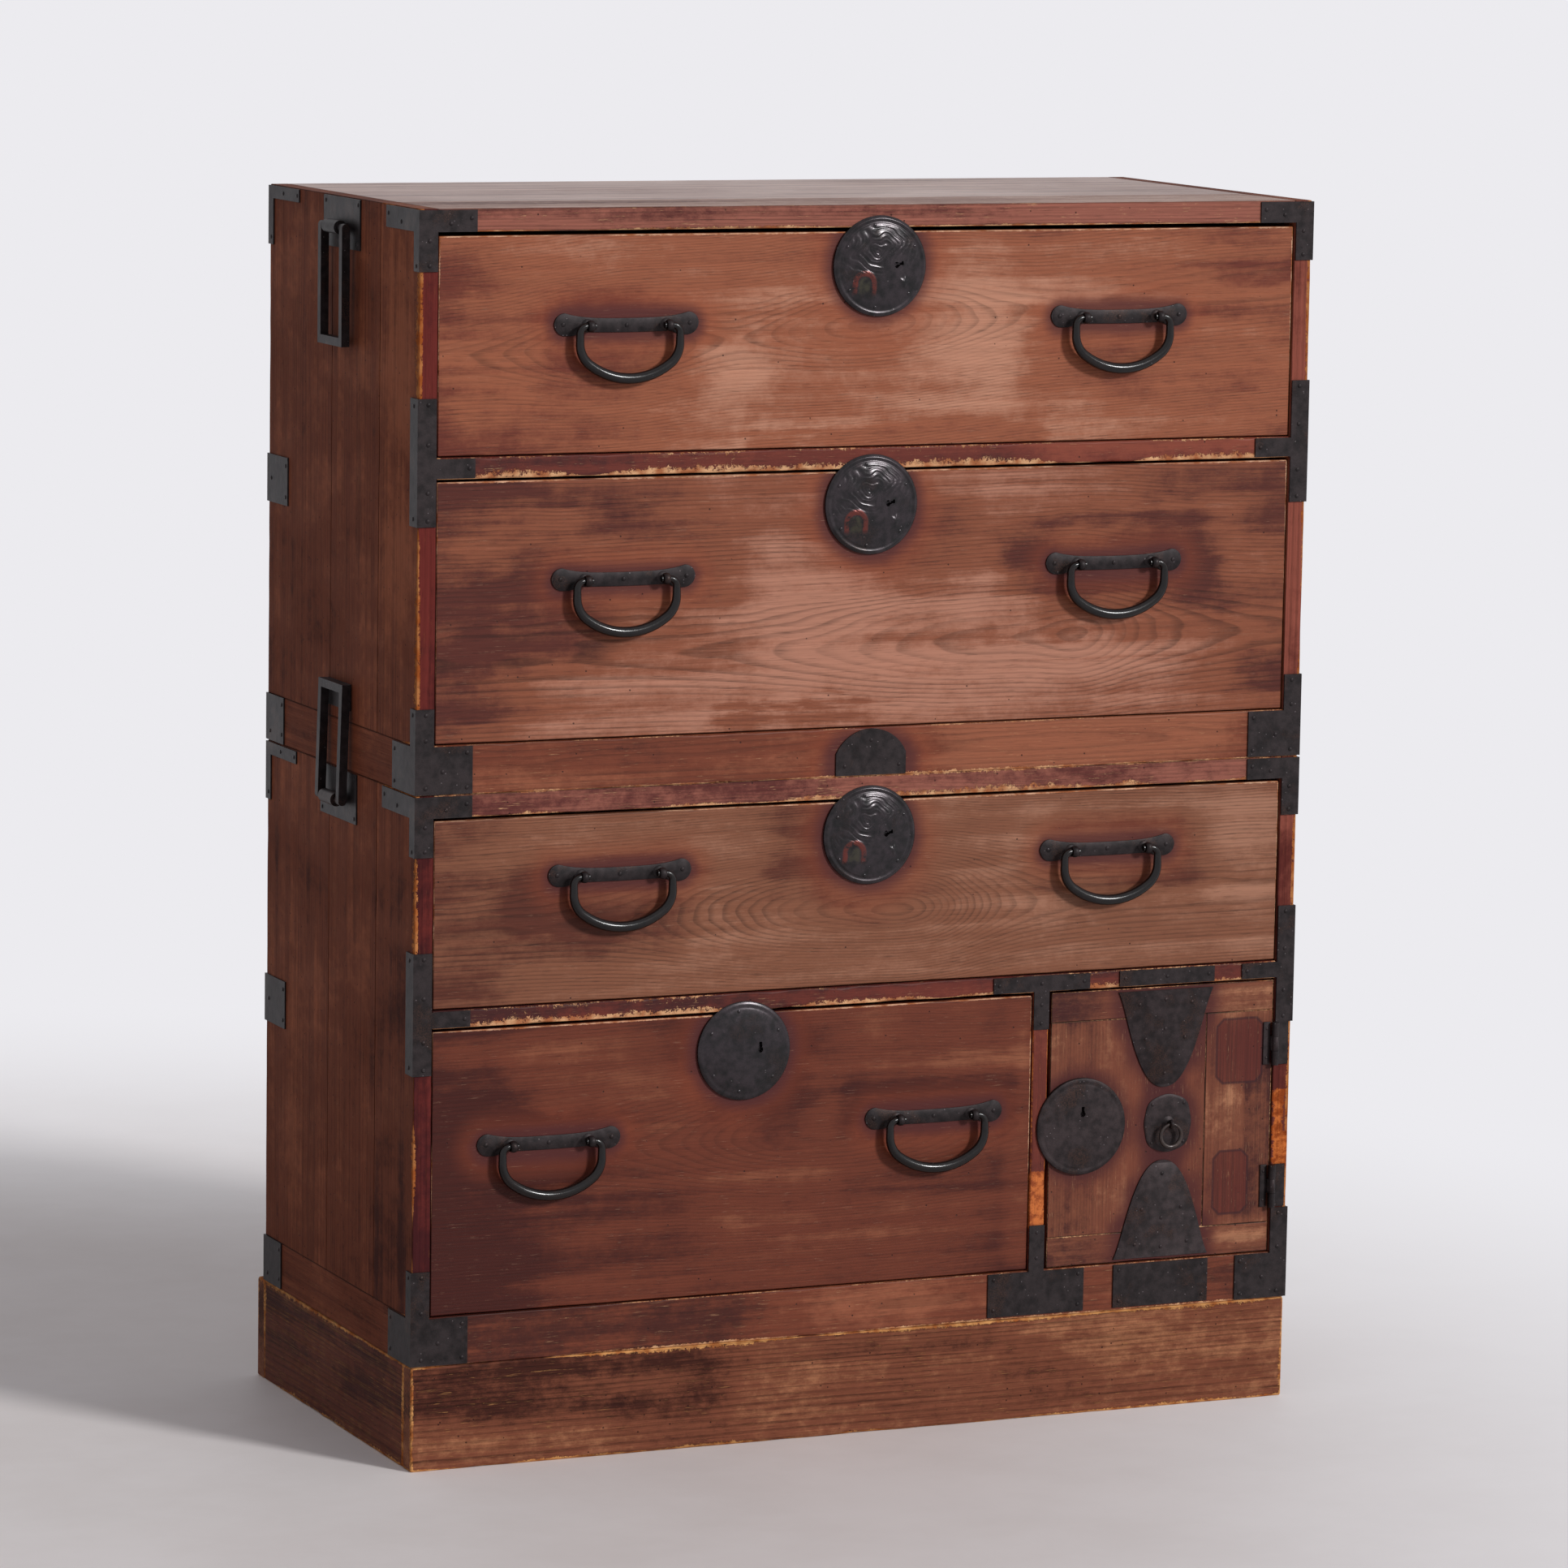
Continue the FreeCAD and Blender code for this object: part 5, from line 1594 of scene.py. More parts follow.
@dataclass
class Door:
    """The cupboard door: boards between cleats, its irons, hinges and ring pull."""

    cleat: float = 0.029
    seam: float = 0.072
    bell_half: float = 0.051
    bell_height: float = 0.095
    bell_margin: float = 0.003
    bell_shift: float = 0.005
    iron_thick: float = 0.0015
    wire: float = 0.0019
    wire_swell: float = 0.0003
    lock_nails: tuple[tuple[float, float], ...] = (
        (-0.0215, 0.029), (-0.0235, -0.027), (0.0365, -0.001), (0.0135, -0.032))
    low: Vector = field(init=False)
    high: Vector = field(init=False)
    ring_x: float = field(init=False)
    ring_z: float = field(init=False)
    bell_x: float = field(init=False)

    def __post_init__(self) -> None:
        """Takes the door's corners and the places of the ring's eye and the bell plates."""
        self.low, self.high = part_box("door_boards")
        low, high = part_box("door_ring")
        self.ring_x, self.ring_z = (low.x + high.x) / 2, high.z - self.wire
        self.bell_x = self.ring_x - self.bell_shift

    def build(self) -> None:
        """Makes the door's pieces."""
        low, high = self.low, self.high
        bolt_low, bolt_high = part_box("door_bolt")
        lock = LockPlate(x=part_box("door_irons")[0].x + LockPlate.radius,
                         z=(bolt_low.z + bolt_high.z) / 2,
                         face=low.y, lap=low.y - PLATE_LAP, lap_above=high.z,
                         lap_left=low.x + LAP_GAP, chased=False, crown=0.0048, dome=0.0008,
                         keyhole=(0.001, 0.012))
        self._boards(lock)
        black = IronFinish("door_iron", dark=tone(25, 19, 20), pale=tone(50, 41, 42)).material()
        nails = front_nails((lock.x, lock.z), self.lock_nails, lock.face - lock.crown + 0.0012,
                            0.002)
        skins = [lock.skin(), *nails, self._escutcheon(), *self._bells(), *self._post(),
                 *self._hinges()]
        piece("door_plates", skins, black, "door", ["door_irons"])
        glossy = IronFinish("ring_iron", dark=tone(44, 36, 34), pale=tone(76, 66, 62), matt=0.4,
                            coat=0.3).material()
        piece("door_pull_ring", [self._ring()], glossy, "door_ring", ["door_ring"])
        dress(["door_bolt"], IronFinish("door_bolt_iron", pale=tone(104, 98, 96)).material())
        dress(["stile_hinges"], IronFinish("hinge_iron").material())

    def _ring(self) -> Skin:
        """The pull ring: a circle of wire that swells with the cosine of the turn below.

        Returns:
            The surface.
        """
        low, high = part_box("door_ring")
        angle = full_turn(48)
        size = (high.x - low.x) / 2 - self.wire
        path = np.stack([self.ring_x + size * np.sin(angle),
                         np.full(len(angle), (low.y + high.y) / 2),
                         self.ring_z - size + size * np.cos(angle)], axis=-1)
        wire = self.wire + self.wire_swell * np.cos(angle + math.pi)
        return rod(path, (0, 1, 0), wire, sides=12, closed=True)

    def _boards(self, lock: LockPlate) -> None:
        """Makes the two upright boards and the level cleats above and below them.

        Args:
            lock: The lock plate, whose bloom the boards show.
        """
        low, high = self.low, self.high
        foot, head, seam = low.z + self.cleat, high.z - self.cleat, high.x - self.seam
        bells = [(self.bell_x, edge + way * depth, half, 0.012, 0.012, 0.02, 0.8)
                 for edge, way in ((high.z, -1), (low.z, 1))
                 for depth, half in ((0.016, 0.036), (0.05, 0.022), (0.078, 0.002))]
        outlines = blot_rows((lock.x, lock.z, 0, 0, lock.radius, 0.018, 0.8),
                          (self.ring_x, self.ring_z, 0, 0.006, 0.026, 0.02, 0.85), *bells)
        blots_and_painted_light = blot_rows(
            (0.21, 0.36, 0, 0, 0.01, 0.039, -0.22), (0.268, 0.35, 0, 0.03, 0.004, 0.039, -0.36),
            (0.405, 0.396, 0.025, 0, 0.008, 0.02, -0.5), (0.405, 0.164, 0.02, 0, 0.006, 0.02, -0.56),
            (0.385, 0.28, 0.01, 0.02, 0.01, 0.039, -0.24), (0.28, 0.24, 0, 0.06, 0.006, 0.026, -0.27),
            (0.235, 0.2, 0.02, 0.03, 0.01, 0.039, -0.16))
        patches = (Patch(0.376, 0.4255, 0.315, 0.378), Patch(0.375, 0.4125, 0.186, 0.248))
        finish = WoodFinish("door_lacquer", light=tone(164, 112, 82), middle=tone(110, 62, 44),
                            deep=tone(62, 26, 23), grain=Grain(vein=0.2, fibre=1.0, wander=0.5),
                            wear=Wear(0.0003, 0.0001, lean=-0.5, seam=0.9), age=0.82,
                            grime=1.0, specks=0.5, scratches=0.3, halo=tone(66, 27, 28),
                            ember=tone(112, 58, 42), outlines=outlines, blots_and_painted_light=blots_and_painted_light,
                            old_lacquer=patches, bare_back=True)
        spans = (((low.x, foot), (seam, head), Axis.UPRIGHT_FRONT),
                 ((seam, foot), (high.x, head), Axis.UPRIGHT_FRONT),
                 ((low.x, low.z), (high.x, foot), Axis.LEVEL_FRONT),
                 ((low.x, head), (high.x, high.z), Axis.LEVEL_FRONT))
        slot = Pocket("door_bolt", SLOT_CLEAR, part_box("door_bolt")[1].x + SLOT_CLEAR, -1)
        skins = [Board((first[0], low.y, first[1]), (last[0], high.y, last[1]), axis, 90 + index,
                       ease=0.0006, chip=0.0008, heart=0.03, pocket=None if index else slot).skin()
                 for index, (first, last, axis) in enumerate(spans)]
        piece("door_panels", skins, finish.material(), "door", ["door_boards"])

    def _escutcheon(self) -> Skin:
        """The plate behind the ring: a rounded, eight-lobed shield with an eased edge.

        Its radius is an oval's, drawn in a little between the lobes.

        Returns:
            The surface.
        """
        angle = full_turn(96)
        half_x, half_z = 0.025, 0.028
        squareness = 2.5
        oval = (np.abs(np.cos(angle) / half_x) ** squareness
                + np.abs(np.sin(angle) / half_z) ** squareness) ** (-1 / squareness)
        radius = oval * (1 + 0.015 * np.cos(8 * angle))
        shares = np.array([0.02, 0.5, 0.9, 0.965, 1.0, 1.0])
        lift = np.array([1.0, 1.0, 0.96, 0.85, 0.5, 0.0]) * self.iron_thick
        rings = np.stack([self.ring_x + shares[:, None] * radius * np.cos(angle),
                          np.broadcast_to(self.low.y - lift[:, None], (len(lift), len(angle))),
                          self.ring_z + shares[:, None] * radius * np.sin(angle)], axis=-1)
        return loft(rings)

    def _bells(self) -> list[Skin]:
        """Two plates shaped like bells, their tips towards the ring, and their nails.

        The half width is the root of the share of the height, flared a little at the mouth.

        Returns:
            The surfaces.
        """
        low, high = self.low, self.high
        share = np.linspace(0, 1, 40) ** 2
        stations = np.maximum(share, 1e-3) * self.bell_height
        half = self.bell_half * (0.94 * np.maximum(share, 2e-3) ** 0.43 + 0.06 * share ** 8)
        skins = []
        for way, tip in ((1, high.z - self.bell_margin - self.bell_height),
                         (-1, low.z + self.bell_margin + self.bell_height)):
            rings, _ = bar_rings(stations, 0 * stations, half,
                                 np.full(len(stations), self.iron_thick / 2),
                                 SHEET_EASE, arc=3)
            skin = loft(rings)
            along, side, through = skin.points.T
            skin.points = np.stack([self.bell_x + side, low.y - self.iron_thick / 2 + through,
                                    tip + way * along], axis=-1)
            skins.append(skin.outward())
            spots = ((-0.6, 0.86), (0.0, 0.9), (0.6, 0.86), (-0.45, 0.5), (0.45, 0.5),
                     (0.0, 0.6), (0.0, 0.14))
            skins += front_nails((self.bell_x, tip), [
                (across * self.bell_half * 0.92, way * up * self.bell_height)
                for across, up in spots], low.y - self.iron_thick, 0.0019)
        return skins

    def _post(self) -> list[Skin]:
        """The eye post that carries the ring, and the nails of its plate.

        Returns:
            The surfaces.
        """
        low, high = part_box("door_ring")
        axis, plate = (low.y + high.y) / 2, self.low.y - self.iron_thick
        bore, outer, half = 0.0026, 0.0046, 0.0015
        eye = [(bore, -half), (bore, half), (0.85 * outer, half), (outer, 0.4 * half),
               (outer, -0.4 * half), (0.85 * outer, -half)]
        depth = plate - axis
        neck = [(0.0021, bore), (0.0024, 0.7 * depth), (0.004, 0.9 * depth), (0.0068, depth),
                (0.002, depth + 0.0002)]
        spot = (self.ring_x, axis, self.ring_z)
        skins = [turned(eye, spot, 0, closed=True), turned(neck, spot, 1, sides=16)]
        corners = ((-0.017, 0.019), (0.017, 0.019), (-0.017, -0.019), (0.017, -0.019))
        return skins + front_nails((self.ring_x, self.ring_z), corners, plate, 0.0017)

    def _hinges(self) -> list[Skin]:
        """The door's two hinge leaves, each with its middle knuckle.

        Returns:
            The surfaces.
        """
        low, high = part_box("stile_hinges")
        axis_x = high.x - 0.015
        radius, bore, face = 0.0035, 0.00166, self.low.y
        axis_y = low.y + radius
        length = 0.042
        skins = []
        for foot in (low.z, high.z - length):
            leaf = Board((axis_x - 0.011, face - self.iron_thick, foot),
                         (axis_x - 0.0038, face, foot + length), Axis.UPRIGHT_FRONT, 5,
                         ease=0.0004, chip=0.0).skin()
            web = Board((axis_x - 0.0039, axis_y + 0.0006, foot + length / 3),
                        (axis_x - 0.0009, face, foot + 2 * length / 3), Axis.UPRIGHT_FRONT, 6,
                        ease=0.0004, chip=0.0).skin()
            half = length / 6
            barrel = turned([(bore, -half), (bore, half), (0.9 * radius, half),
                             (radius, 0.93 * half), (radius, -0.93 * half),
                             (0.9 * radius, -half)],
                            (axis_x, axis_y, foot + length / 2), 2, sides=20, closed=True)
            for skin in (leaf, web, barrel):
                skin.normals = None
                skin.values = None
                skins.append(skin)
            skins += front_nails((axis_x - 0.0075, foot), [(0, 0.16 * length), (0, 0.84 * length)],
                                 face - self.iron_thick, 0.0014)
        return skins


@dataclass
class SmallDrawer:
    """One of the three small drawers behind the door."""

    number: int
    wall: float = 0.006
    front_thick: float = 0.012
    gap_below: float = 0.0007
    drop: float = 0.006
    knob_radius: float = 0.007

    def build(self) -> None:
        """Makes the front, the tray and a turned knob."""
        node = f"small_drawer_{self.number}"
        low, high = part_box(node)
        face = low.y + 0.009
        behind = face + self.front_thick
        left, right = low.x + 0.0005, high.x - 0.0005
        floor = low.z + self.wall
        top = high.z - self.drop
        front = Board((low.x, face, low.z + self.gap_below), (high.x, behind, high.z),
                      Axis.LEVEL_FRONT, 110 + self.number, ease=0.001, chip=0.0006, heart=0.04)
        inner, outer, rear = left + self.wall, right - self.wall, high.y - self.wall
        boxes = (((left, behind, low.z), (right, high.y, floor), Axis.DEEP_TOP),
                 ((left, behind, floor), (inner, high.y, top), Axis.LEVEL_SIDE),
                 ((outer, behind, floor), (right, high.y, top), Axis.LEVEL_SIDE),
                 ((inner, rear, floor), (outer, high.y, top), Axis.LEVEL_FRONT))
        tray = [Board(first, last, grain, 114 + index).skin()
                for index, (first, last, grain) in enumerate(boxes)]
        finish = WoodFinish("small_front_wood", light=tone(158, 110, 74),
                            middle=tone(130, 84, 56), deep=tone(96, 58, 40))
        piece(f"{node}_face", [front.skin()], finish.material(), node, [node])
        piece(f"{node}_tray", tray, Case.raw_finish.material(), node, [node])
        radius = self.knob_radius
        knob = turned([(0.0005, 0.0), (0.5 * radius, 0.0003), (0.85 * radius, 0.0012),
                       (radius, 0.003), (0.9 * radius, 0.0048), (0.55 * radius, 0.0064),
                       (0.45 * radius, 0.0076), (0.6 * radius, 0.0089), (0.3 * radius, 0.0091)],
                      ((low.x + high.x) / 2, low.y, (low.z + self.gap_below + high.z) / 2), 1)
        piece(f"{node}_knob", [knob], IronFinish("knob_iron").material(), node,
              [node])


@dataclass
class Irons:
    """The nails in the straps, corner plates and brackets of both cases."""

    margin: float = 0.0055
    thick: float = 0.0015
    arm: float = 0.055
    crown_leg: float = 0.057
    rail_drop: float = 0.043
    rail_rise: float = 0.054
    side_arm: float = 0.084
    foot_arm: float = 0.058
    rear_arm: float = 0.056
    rear_foot_arm: float = 0.048
    tee_half: float = 0.045
    patch_x: float = 0.319

    def build(self) -> None:
        """Dresses the irons and makes their nails."""
        black = IronFinish("case_iron").material()
        dress(["upper_irons", "lower_irons", "upper_left_loop", "upper_right_loop",
               "lower_left_loop", "lower_right_loop"], black)
        for case in ("upper", "lower"):
            nails = [*self._front(case), *self._side(case)]
            piece(f"{case}_nails", nails, black, f"{case}_case")

    def _levels(self, case: str) -> SimpleNamespace:
        """The heights that the irons of one case follow.

        Args:
            case: The case's name.

        Returns:
            Each height or depth by its name.
        """
        base_low, base_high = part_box(f"{case}_base_boards")
        top_low, top_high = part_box(f"{case}_top")
        rail_low, rail_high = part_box(f"{case}_mid_rail")
        return SimpleNamespace(
            floor=base_low.z, base=base_high.z, lid=top_low.z, crown=top_high.z, rail=rail_low.z,
            rail_top=rail_high.z, half=base_high.x, inner=top_high.x, front=base_low.y,
            rear=base_high.y, foot=0.034 if case == "upper" else 0.044)

    def _front(self, case: str) -> list[Skin]:
        """Nails on the front: at the ends of each arm and leg.

        Args:
            case: The case's name.

        Returns:
            The surfaces.
        """
        at = self._levels(case)
        face = at.front - self.thick
        leg = (at.half + at.inner) / 2
        edge = at.half - self.arm + self.margin
        spots = [(edge, (at.lid + at.crown) / 2 + 0.002),
                 (edge + 0.02, (at.lid + at.crown) / 2 - 0.003),
                 (leg, at.crown - self.crown_leg + self.margin), (leg, at.lid - 0.008),
                 (edge, (at.rail + at.rail_top) / 2),
                 (leg, at.rail - self.rail_drop + self.margin),
                 (leg, at.rail_top + self.rail_rise - self.margin),
                 (leg, at.rail_top + 0.012), (leg, at.rail - 0.012),
                 (edge, at.floor + 0.007), (edge, at.base - 0.007),
                 (leg, at.floor + 0.007), (edge + 0.024, at.floor + 0.022),
                 (leg, at.base + at.foot - self.margin), (leg, at.base + 0.005)]
        skins = front_nails((0, 0), ((side * x, z) for x, z in spots for side in (-1, 1)), face,
                            0.0021)
        if case == "lower":
            low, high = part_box("lower_partition")
            tee, patch, half = (low.x + high.x) / 2, self.patch_x, self.tee_half
            rail, foot = (at.rail + at.rail_top) / 2, at.floor + 0.0245
            places = [(tee - half, rail), (tee + half, rail), (tee, rail),
                      (tee, at.rail - 0.03), (tee, at.rail - 0.012),
                      (patch - half, rail), (patch + half, rail), (patch, rail),
                      (tee, at.base + 0.037), (tee, at.base + 0.012)]
            for x in (tee - half, tee + half, patch - half, patch + half):
                places += [(x, foot - 0.015), (x, foot + 0.015)]
            return skins + front_nails((0, 0), places, face, 0.0019)
        half_moon = ((0.001, 0.034), (-0.026, 0.01), (0.03, 0.01))
        return skins + front_nails((0, at.floor), half_moon, face, 0.0019)

    def _side(self, case: str) -> list[Skin]:
        """Nails on the sides: in the wrapped corners, rear irons, brackets and strikes.

        Args:
            case: The case's name.

        Returns:
            The surfaces.
        """
        at = self._levels(case)
        out = at.half + self.thick
        front, rear = at.front, at.rear
        spots = [(front + self.side_arm - self.margin, at.crown - 0.008),
                 (front + 0.045, at.crown - 0.014), (front + 0.006, at.crown - 0.052),
                 (front + self.foot_arm - self.margin, at.floor + 0.008),
                 (front + self.foot_arm - self.margin, at.base - 0.008),
                 (front + 0.006, at.base + at.foot - self.margin),
                 (front + 0.009, at.rail - 0.036), (front + 0.009, at.rail_top + 0.047),
                 (rear - self.side_arm + self.margin, at.crown - 0.007),
                 (rear - 0.04, at.crown - 0.007), (rear - 0.006, at.crown - 0.05),
                 (rear - self.rear_arm + self.margin, at.rail - 0.02),
                 (rear - self.rear_arm + self.margin, at.rail - 0.05),
                 (rear - 0.01, at.rail - 0.035),
                 (rear - self.rear_foot_arm + self.margin, at.floor + 0.01),
                 (rear - self.rear_foot_arm + self.margin, at.base - 0.007),
                 (rear - 0.01, at.floor + 0.01)]
        for y in (-0.0435, 0.0435):
            spots += [(y, at.crown - 0.006), (y, at.crown - 0.043)]
            if case == "upper":
                spots.append((y * 0.55, at.floor + 0.0775))
        return [nail(side * out, y, z, 0, side, 0.0021) for y, z in spots for side in (-1, 1)]


@dataclass
class Studio:
    """Floor, lamps and the camera, set as the photograph was taken."""

    camera_place: tuple[float, float, float] = (-2.635, -5.9593, 1.5322)
    yaw: float = 0.4166
    pitch: float = -0.1425
    roll: float = 0.0158
    focal_share: float = 8381.6 / 1932
    sensor: float = 36.0
    backdrop: Colour = tone(236, 235, 239)
    surround: float = 0.38
    key: float = 2.4
    key_turn: float = 32.0
    key_height: float = 24.0
    softness: float = 0.16

    def build(self) -> None:
        """Makes the floor, the light and the camera."""
        self._floor()
        self._light()
        self._camera()

    def _floor(self) -> None:
        """A wide, pale floor that fades into the background far from the chest; the fade is centred
        left of the chest, so the floor to its right is paler: painted light.
        """
        half = 150.0
        mesh = bpy.data.meshes.new("floor")
        mesh.from_pydata([(-half, -half, 0), (half, -half, 0), (half, half, 0), (-half, half, 0)],
                         [], [(0, 1, 2, 3)])
        graph = Surface("floor_paint")
        x, y, z = graph.place()
        cloud = graph.noise(x * 3.0, y * 3.0, z, 5.0, 0.65)
        colour = graph.blend(cloud.rise(0.3, 0.7), tone(238, 232, 231), tone(230, 223, 221))
        graph.finish(colour, 0.62, cloud * 4e-4)
        # Painted light: the fade is centred a metre left of the chest, so the floor to the right of
        # the chest is paler than to its left.
        side = x + 1.0
        self._glow(graph, (side * side + y * y).root().rise(0.9, 2.5))
        mesh.materials.append(graph.material)
        floor = bpy.data.objects.new("floor", mesh)
        bpy.context.scene.collection.objects.link(floor)

    def _glow(self, graph: Surface, share: Wire) -> None:
        """Lets a surface fade into the background's colour, for rays that see it directly.

        Args:
            graph: The surface's node tree.
            share: How far the surface has faded.
        """
        glow = graph.add("ShaderNodeEmission", (self.backdrop, 1.0))
        mix = graph.add("ShaderNodeMixShader", (share * self._seen(graph),))
        graph.tree.links.new(graph.shader.outputs[0], mix.inputs[1])
        graph.tree.links.new(glow.outputs[0], mix.inputs[2])
        graph.tree.links.new(mix.outputs[0], graph.output.inputs[0])

    def _seen(self, graph: Graph) -> Wire:
        """One for rays from the camera and for mirrored or transmitted ones.

        Args:
            graph: The node tree that asks.

        Returns:
            One or nothing.
        """
        path = graph.add("ShaderNodeLightPath")
        rays = [Wire(graph, path.outputs[name]) for name in
                ("Is Camera Ray", "Is Glossy Ray", "Is Transmission Ray")]
        return rays[0].most(rays[1]).most(rays[2])

    def _light(self) -> None:
        """A pale surrounding light and one large, distant soft lamp from the right."""
        world = bpy.data.worlds.new("surround")
        bpy.context.scene.world = world
        world.use_nodes = True
        graph = Graph(world.node_tree)
        back = world.node_tree.nodes["Background"]
        back.inputs[0].default_value = self.backdrop
        graph.put(back.inputs[1], self._seen(graph).rise(0.0, 1.0, self.surround, 1.0))
        lamp = bpy.data.lights.new("key", "SUN")
        lamp.energy = self.key
        lamp.angle = self.softness
        thing = bpy.data.objects.new("key", lamp)
        turn, height = math.radians(self.key_turn), math.radians(self.key_height)
        towards = Vector((math.sin(turn) * math.cos(height), -math.cos(turn) * math.cos(height),
                          math.sin(height)))
        thing.rotation_euler = towards.to_track_quat("Z", "Y").to_euler()
        bpy.context.scene.collection.objects.link(thing)

    def _camera(self) -> None:
        """The camera, from its place and its three turns."""
        ahead = Vector((math.sin(self.yaw) * math.cos(self.pitch),
                        math.cos(self.yaw) * math.cos(self.pitch), math.sin(self.pitch)))
        right = Vector((math.cos(self.yaw), -math.sin(self.yaw), 0))
        up = right.cross(ahead)
        level = right * math.cos(self.roll) + up * math.sin(self.roll)
        upright = up * math.cos(self.roll) - right * math.sin(self.roll)
        camera = bpy.data.cameras.new("camera")
        camera.sensor_width = self.sensor
        camera.lens = self.focal_share * self.sensor
        camera.dof.use_dof = False
        thing = bpy.data.objects.new("camera", camera)
        thing.matrix_world = Matrix((
            (level.x, upright.x, -ahead.x, self.camera_place[0]),
            (level.y, upright.y, -ahead.y, self.camera_place[1]),
            (level.z, upright.z, -ahead.z, self.camera_place[2]), (0, 0, 0, 1)))
        bpy.context.scene.collection.objects.link(thing)
        bpy.context.scene.camera = thing
        bpy.context.scene.view_settings.view_transform = "Standard"
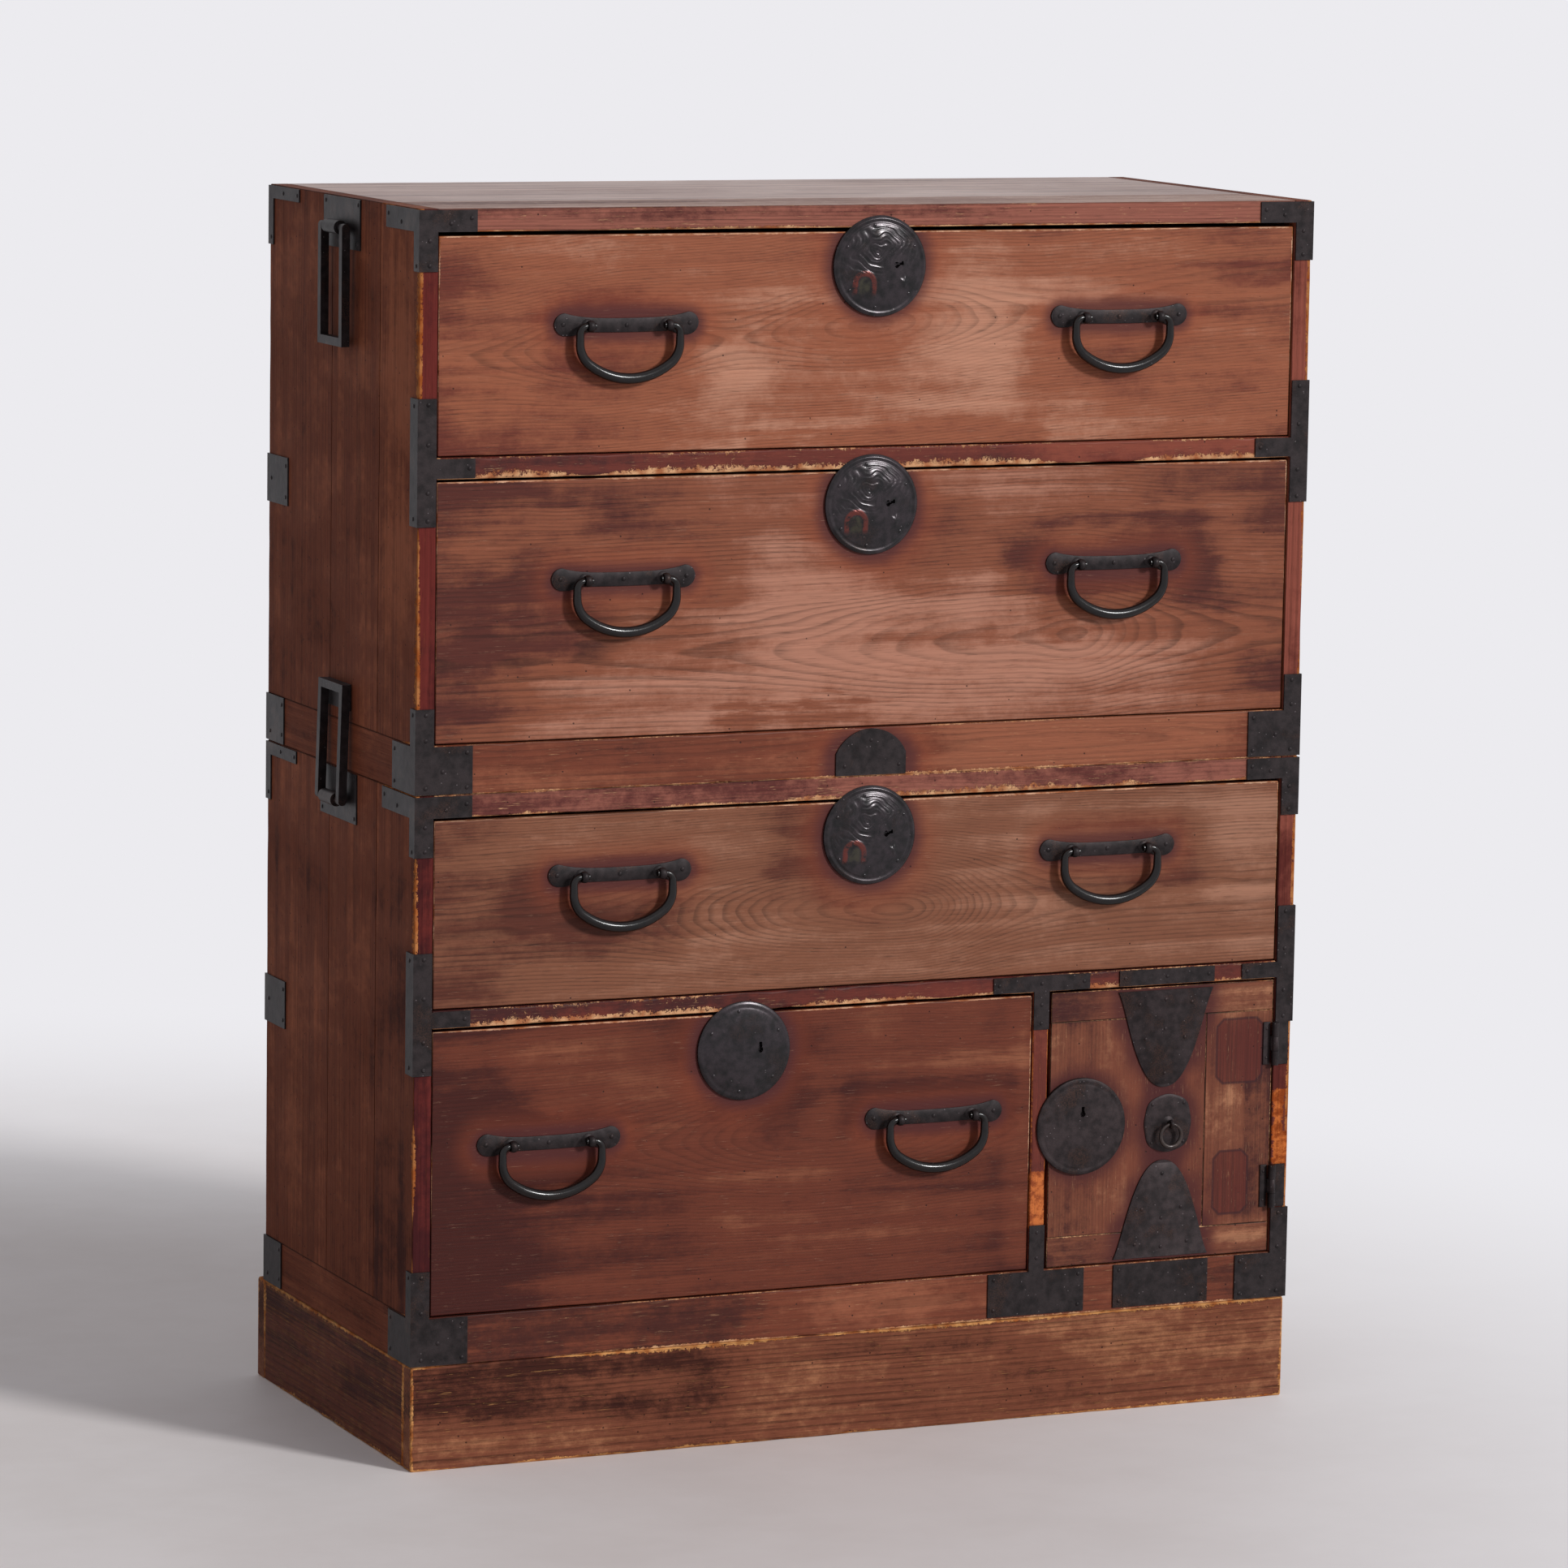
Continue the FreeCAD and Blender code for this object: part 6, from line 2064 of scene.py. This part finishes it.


# The fronts grow paler from the bottom drawer to the top one, partly as faded lacquer and partly as
# painted sheen of the lamp. Their patches are partly bloomed lacquer and partly painted light: the
# faded ones across the middles are painted sheen, and the dark ones round and below the handles are
# partly painted shade of the bails.
DRAWERS = (
    Drawer(
        1, light=tone(176, 124, 100), middle=tone(142, 82, 57), deep=tone(98, 44, 32),
        heart=0.052, off_heart=-0.013,
        grain=Grain(ring=0.0026, vein=0.28, tilt=0.07,
                    figures=(Figure(-0.255, 0.085, 0.018), Figure(0.0, 0.11, 0.02))),
        blots_and_painted_light=blot_rows(
            (0.03, 0.98, 0.14, 0.02, 0.02, 0.156, -0.252),
            (0.16, 1.09, 0.05, 0, 0.01, 0.104, -0.18), (0.3, 1.07, 0.08, 0.02, 0.02, 0.091, 0.16),
            (0.43, 1.04, 0, 0.09, 0.01, 0.104, 0.12), (-0.44, 1.14, 0.02, 0.01, 0, 0.07, 0.22),
            (-0.44, 1, 0, 0.1, 0, 0.045, 0.16), (0.02, 0.95, 0.14, 0, 0.002, 0.021, 0.33),
            (-0.255, 1.045, 0.05, 0.01, 0.006, 0.039, 0.15),
            (-0.25, 1.02, 0.05, 0.01, 0, 0.06, 0.22), (-0.42, 0.975, 0.03, 0.01, 0, 0.06, 0.26),
            (0.085, 1.005, 0.03, 0.02, 0, 0.05, -0.22), (0.21, 1.025, 0.03, 0.01, 0, 0.05, 0.22),
            (-0.075, 1.02, 0.01, 0.02, 0, 0.06, 0.16), (0, 1.1, 0, 0, 0.055, 0.065, 0.18))),
    Drawer(
        2, light=tone(168, 116, 95), middle=tone(128, 73, 51), deep=tone(80, 36, 28), heart=0.062,
        off_heart=0.044,
        grain=Grain(ring=0.0036, vein=0.38,
                    figures=(Figure(0.221, 0.045, 0.009), Figure(0.12, 0.19, 0.024))),
        blots_and_painted_light=blot_rows(
            (0.12, 0.755, 0.16, 0.02, 0.01, 0.091, -0.3),
            (-0.18, 0.74, 0.1, 0.03, 0, 0.104, -0.18), (-0.05, 0.83, 0.04, 0.02, 0, 0.091, -0.18),
            (0.16, 0.9, 0.1, 0, 0, 0.039, -0.18), (0.245, 0.835, 0.085, 0.006, 0.006, 0.045, 0.42),
            (0.16, 0.815, 0.015, 0.02, 0, 0.045, 0.26), (0.05, 0.87, 0, 0, 0.03, 0.065, 0.27),
            (0.43, 0.79, 0, 0.1, 0, 0.05, 0.12), (0.415, 0.708, 0.02, 0.006, 0, 0.04, 0.3),
            (-0.44, 0.8, 0, 0.11, 0.01, 0.117, 0.34), (-0.3, 0.905, 0.1, 0, 0, 0.052, 0.12),
            (-0.255, 0.84, 0.085, 0.005, 0.008, 0.058, 0.3),
            (-0.33, 0.795, 0.05, 0.015, 0, 0.05, 0.22),
            (0.205, 0.795, 0.01, 0.012, 0, 0.045, 0.34), (0.3, 0.79, 0.05, 0.006, 0, 0.05, 0.18),
            (-0.02, 0.845, 0.02, 0.01, 0, 0.06, 0.2), (0.43, 0.9, 0.01, 0.01, 0, 0.06, 0.24),
            (-0.08, 0.692, 0.075, 0, 0.001, 0.018, 0.48))),
    Drawer(
        3, light=tone(154, 108, 86), middle=tone(122, 76, 55), deep=tone(84, 41, 29), heart=0.062,
        off_heart=0.0155,
        grain=Grain(ring=0.0025, vein=0.36,
                    figures=(Figure(0.052, 0.06, 0.014), Figure(-0.03, 0.15, 0.03))),
        blots_and_painted_light=blot_rows(
            (0.05, 0.5, 0.22, 0.02, 0, 0.117, -0.12), (0.3, 0.53, 0.1, 0.05, 0, 0.078, -0.15),
            (-0.44, 0.53, 0, 0.09, 0.01, 0.104, 0.24), (-0.27, 0.53, 0.06, 0.01, 0.01, 0.05, 0.5),
            (0.26, 0.535, 0.06, 0.01, 0.01, 0.045, 0.48), (0.41, 0.54, 0.02, 0.03, 0, 0.05, -0.2),
            (-0.06, 0.575, 0.02, 0.02, 0, 0.039, 0.36), (0, 0.572, 0, 0, 0.05, 0.039, 0.18))),
    Drawer(
        4, light=tone(134, 80, 56), middle=tone(100, 48, 32), deep=tone(62, 22, 16), heart=0.06,
        off_heart=-0.012, chased=False, age=0.68,
        grain=Grain(ring=0.0028, vein=0.2, figures=(Figure(0.1, 0.16, 0.03),)),
        blots_and_painted_light=blot_rows(
            (0.08, 0.375, 0.06, 0.005, 0, 0.065, -0.33),
            (-0.02, 0.235, 0.1, 0.03, 0, 0.091, -0.21),
            (-0.33, 0.385, 0.07, 0.008, 0, 0.05, -0.22), (-0.18, 0.33, 0.05, 0.02, 0, 0.06, -0.26),
            (0.168, 0.28, 0, 0.11, 0, 0.023, -0.3), (-0.125, 0.378, 0, 0, 0.05, 0.04, 0.3),
            (0.074, 0.318, 0.075, 0, 0.01, 0.034, 0.42),
            (-0.32, 0.305, 0.07, 0, 0.01, 0.036, 0.26), (-0.4, 0.31, 0.05, 0.015, 0, 0.05, 0.3),
            (-0.11, 0.325, 0.03, 0.01, 0, 0.05, 0.3), (0.155, 0.385, 0.01, 0.005, 0, 0.04, 0.24),
            (-0.42, 0.24, 0.03, 0.1, 0, 0.09, 0.36))),
)


def main() -> None:
    """Builds the chest from its plinth up, then the studio round it."""
    logging.basicConfig(level=logging.INFO, format="%(name)s %(message)s")
    Plinth().build()
    for case in (Case("lower", 200, 3), Case("upper", 300, 1)):
        case.build()
    Partition().build()
    for drawer in DRAWERS:
        drawer.build()
    Door().build()
    for number in (1, 2, 3):
        SmallDrawer(number).build()
    Irons().build()
    planed = PlanedFinish("planed_wood", 0).material()
    dress(["lower_shelf", "lower_bottom", "upper_shelf", "upper_bottom", "cupboard_frame"], planed)
    Studio().build()


if __name__ == "__main__":
    main()
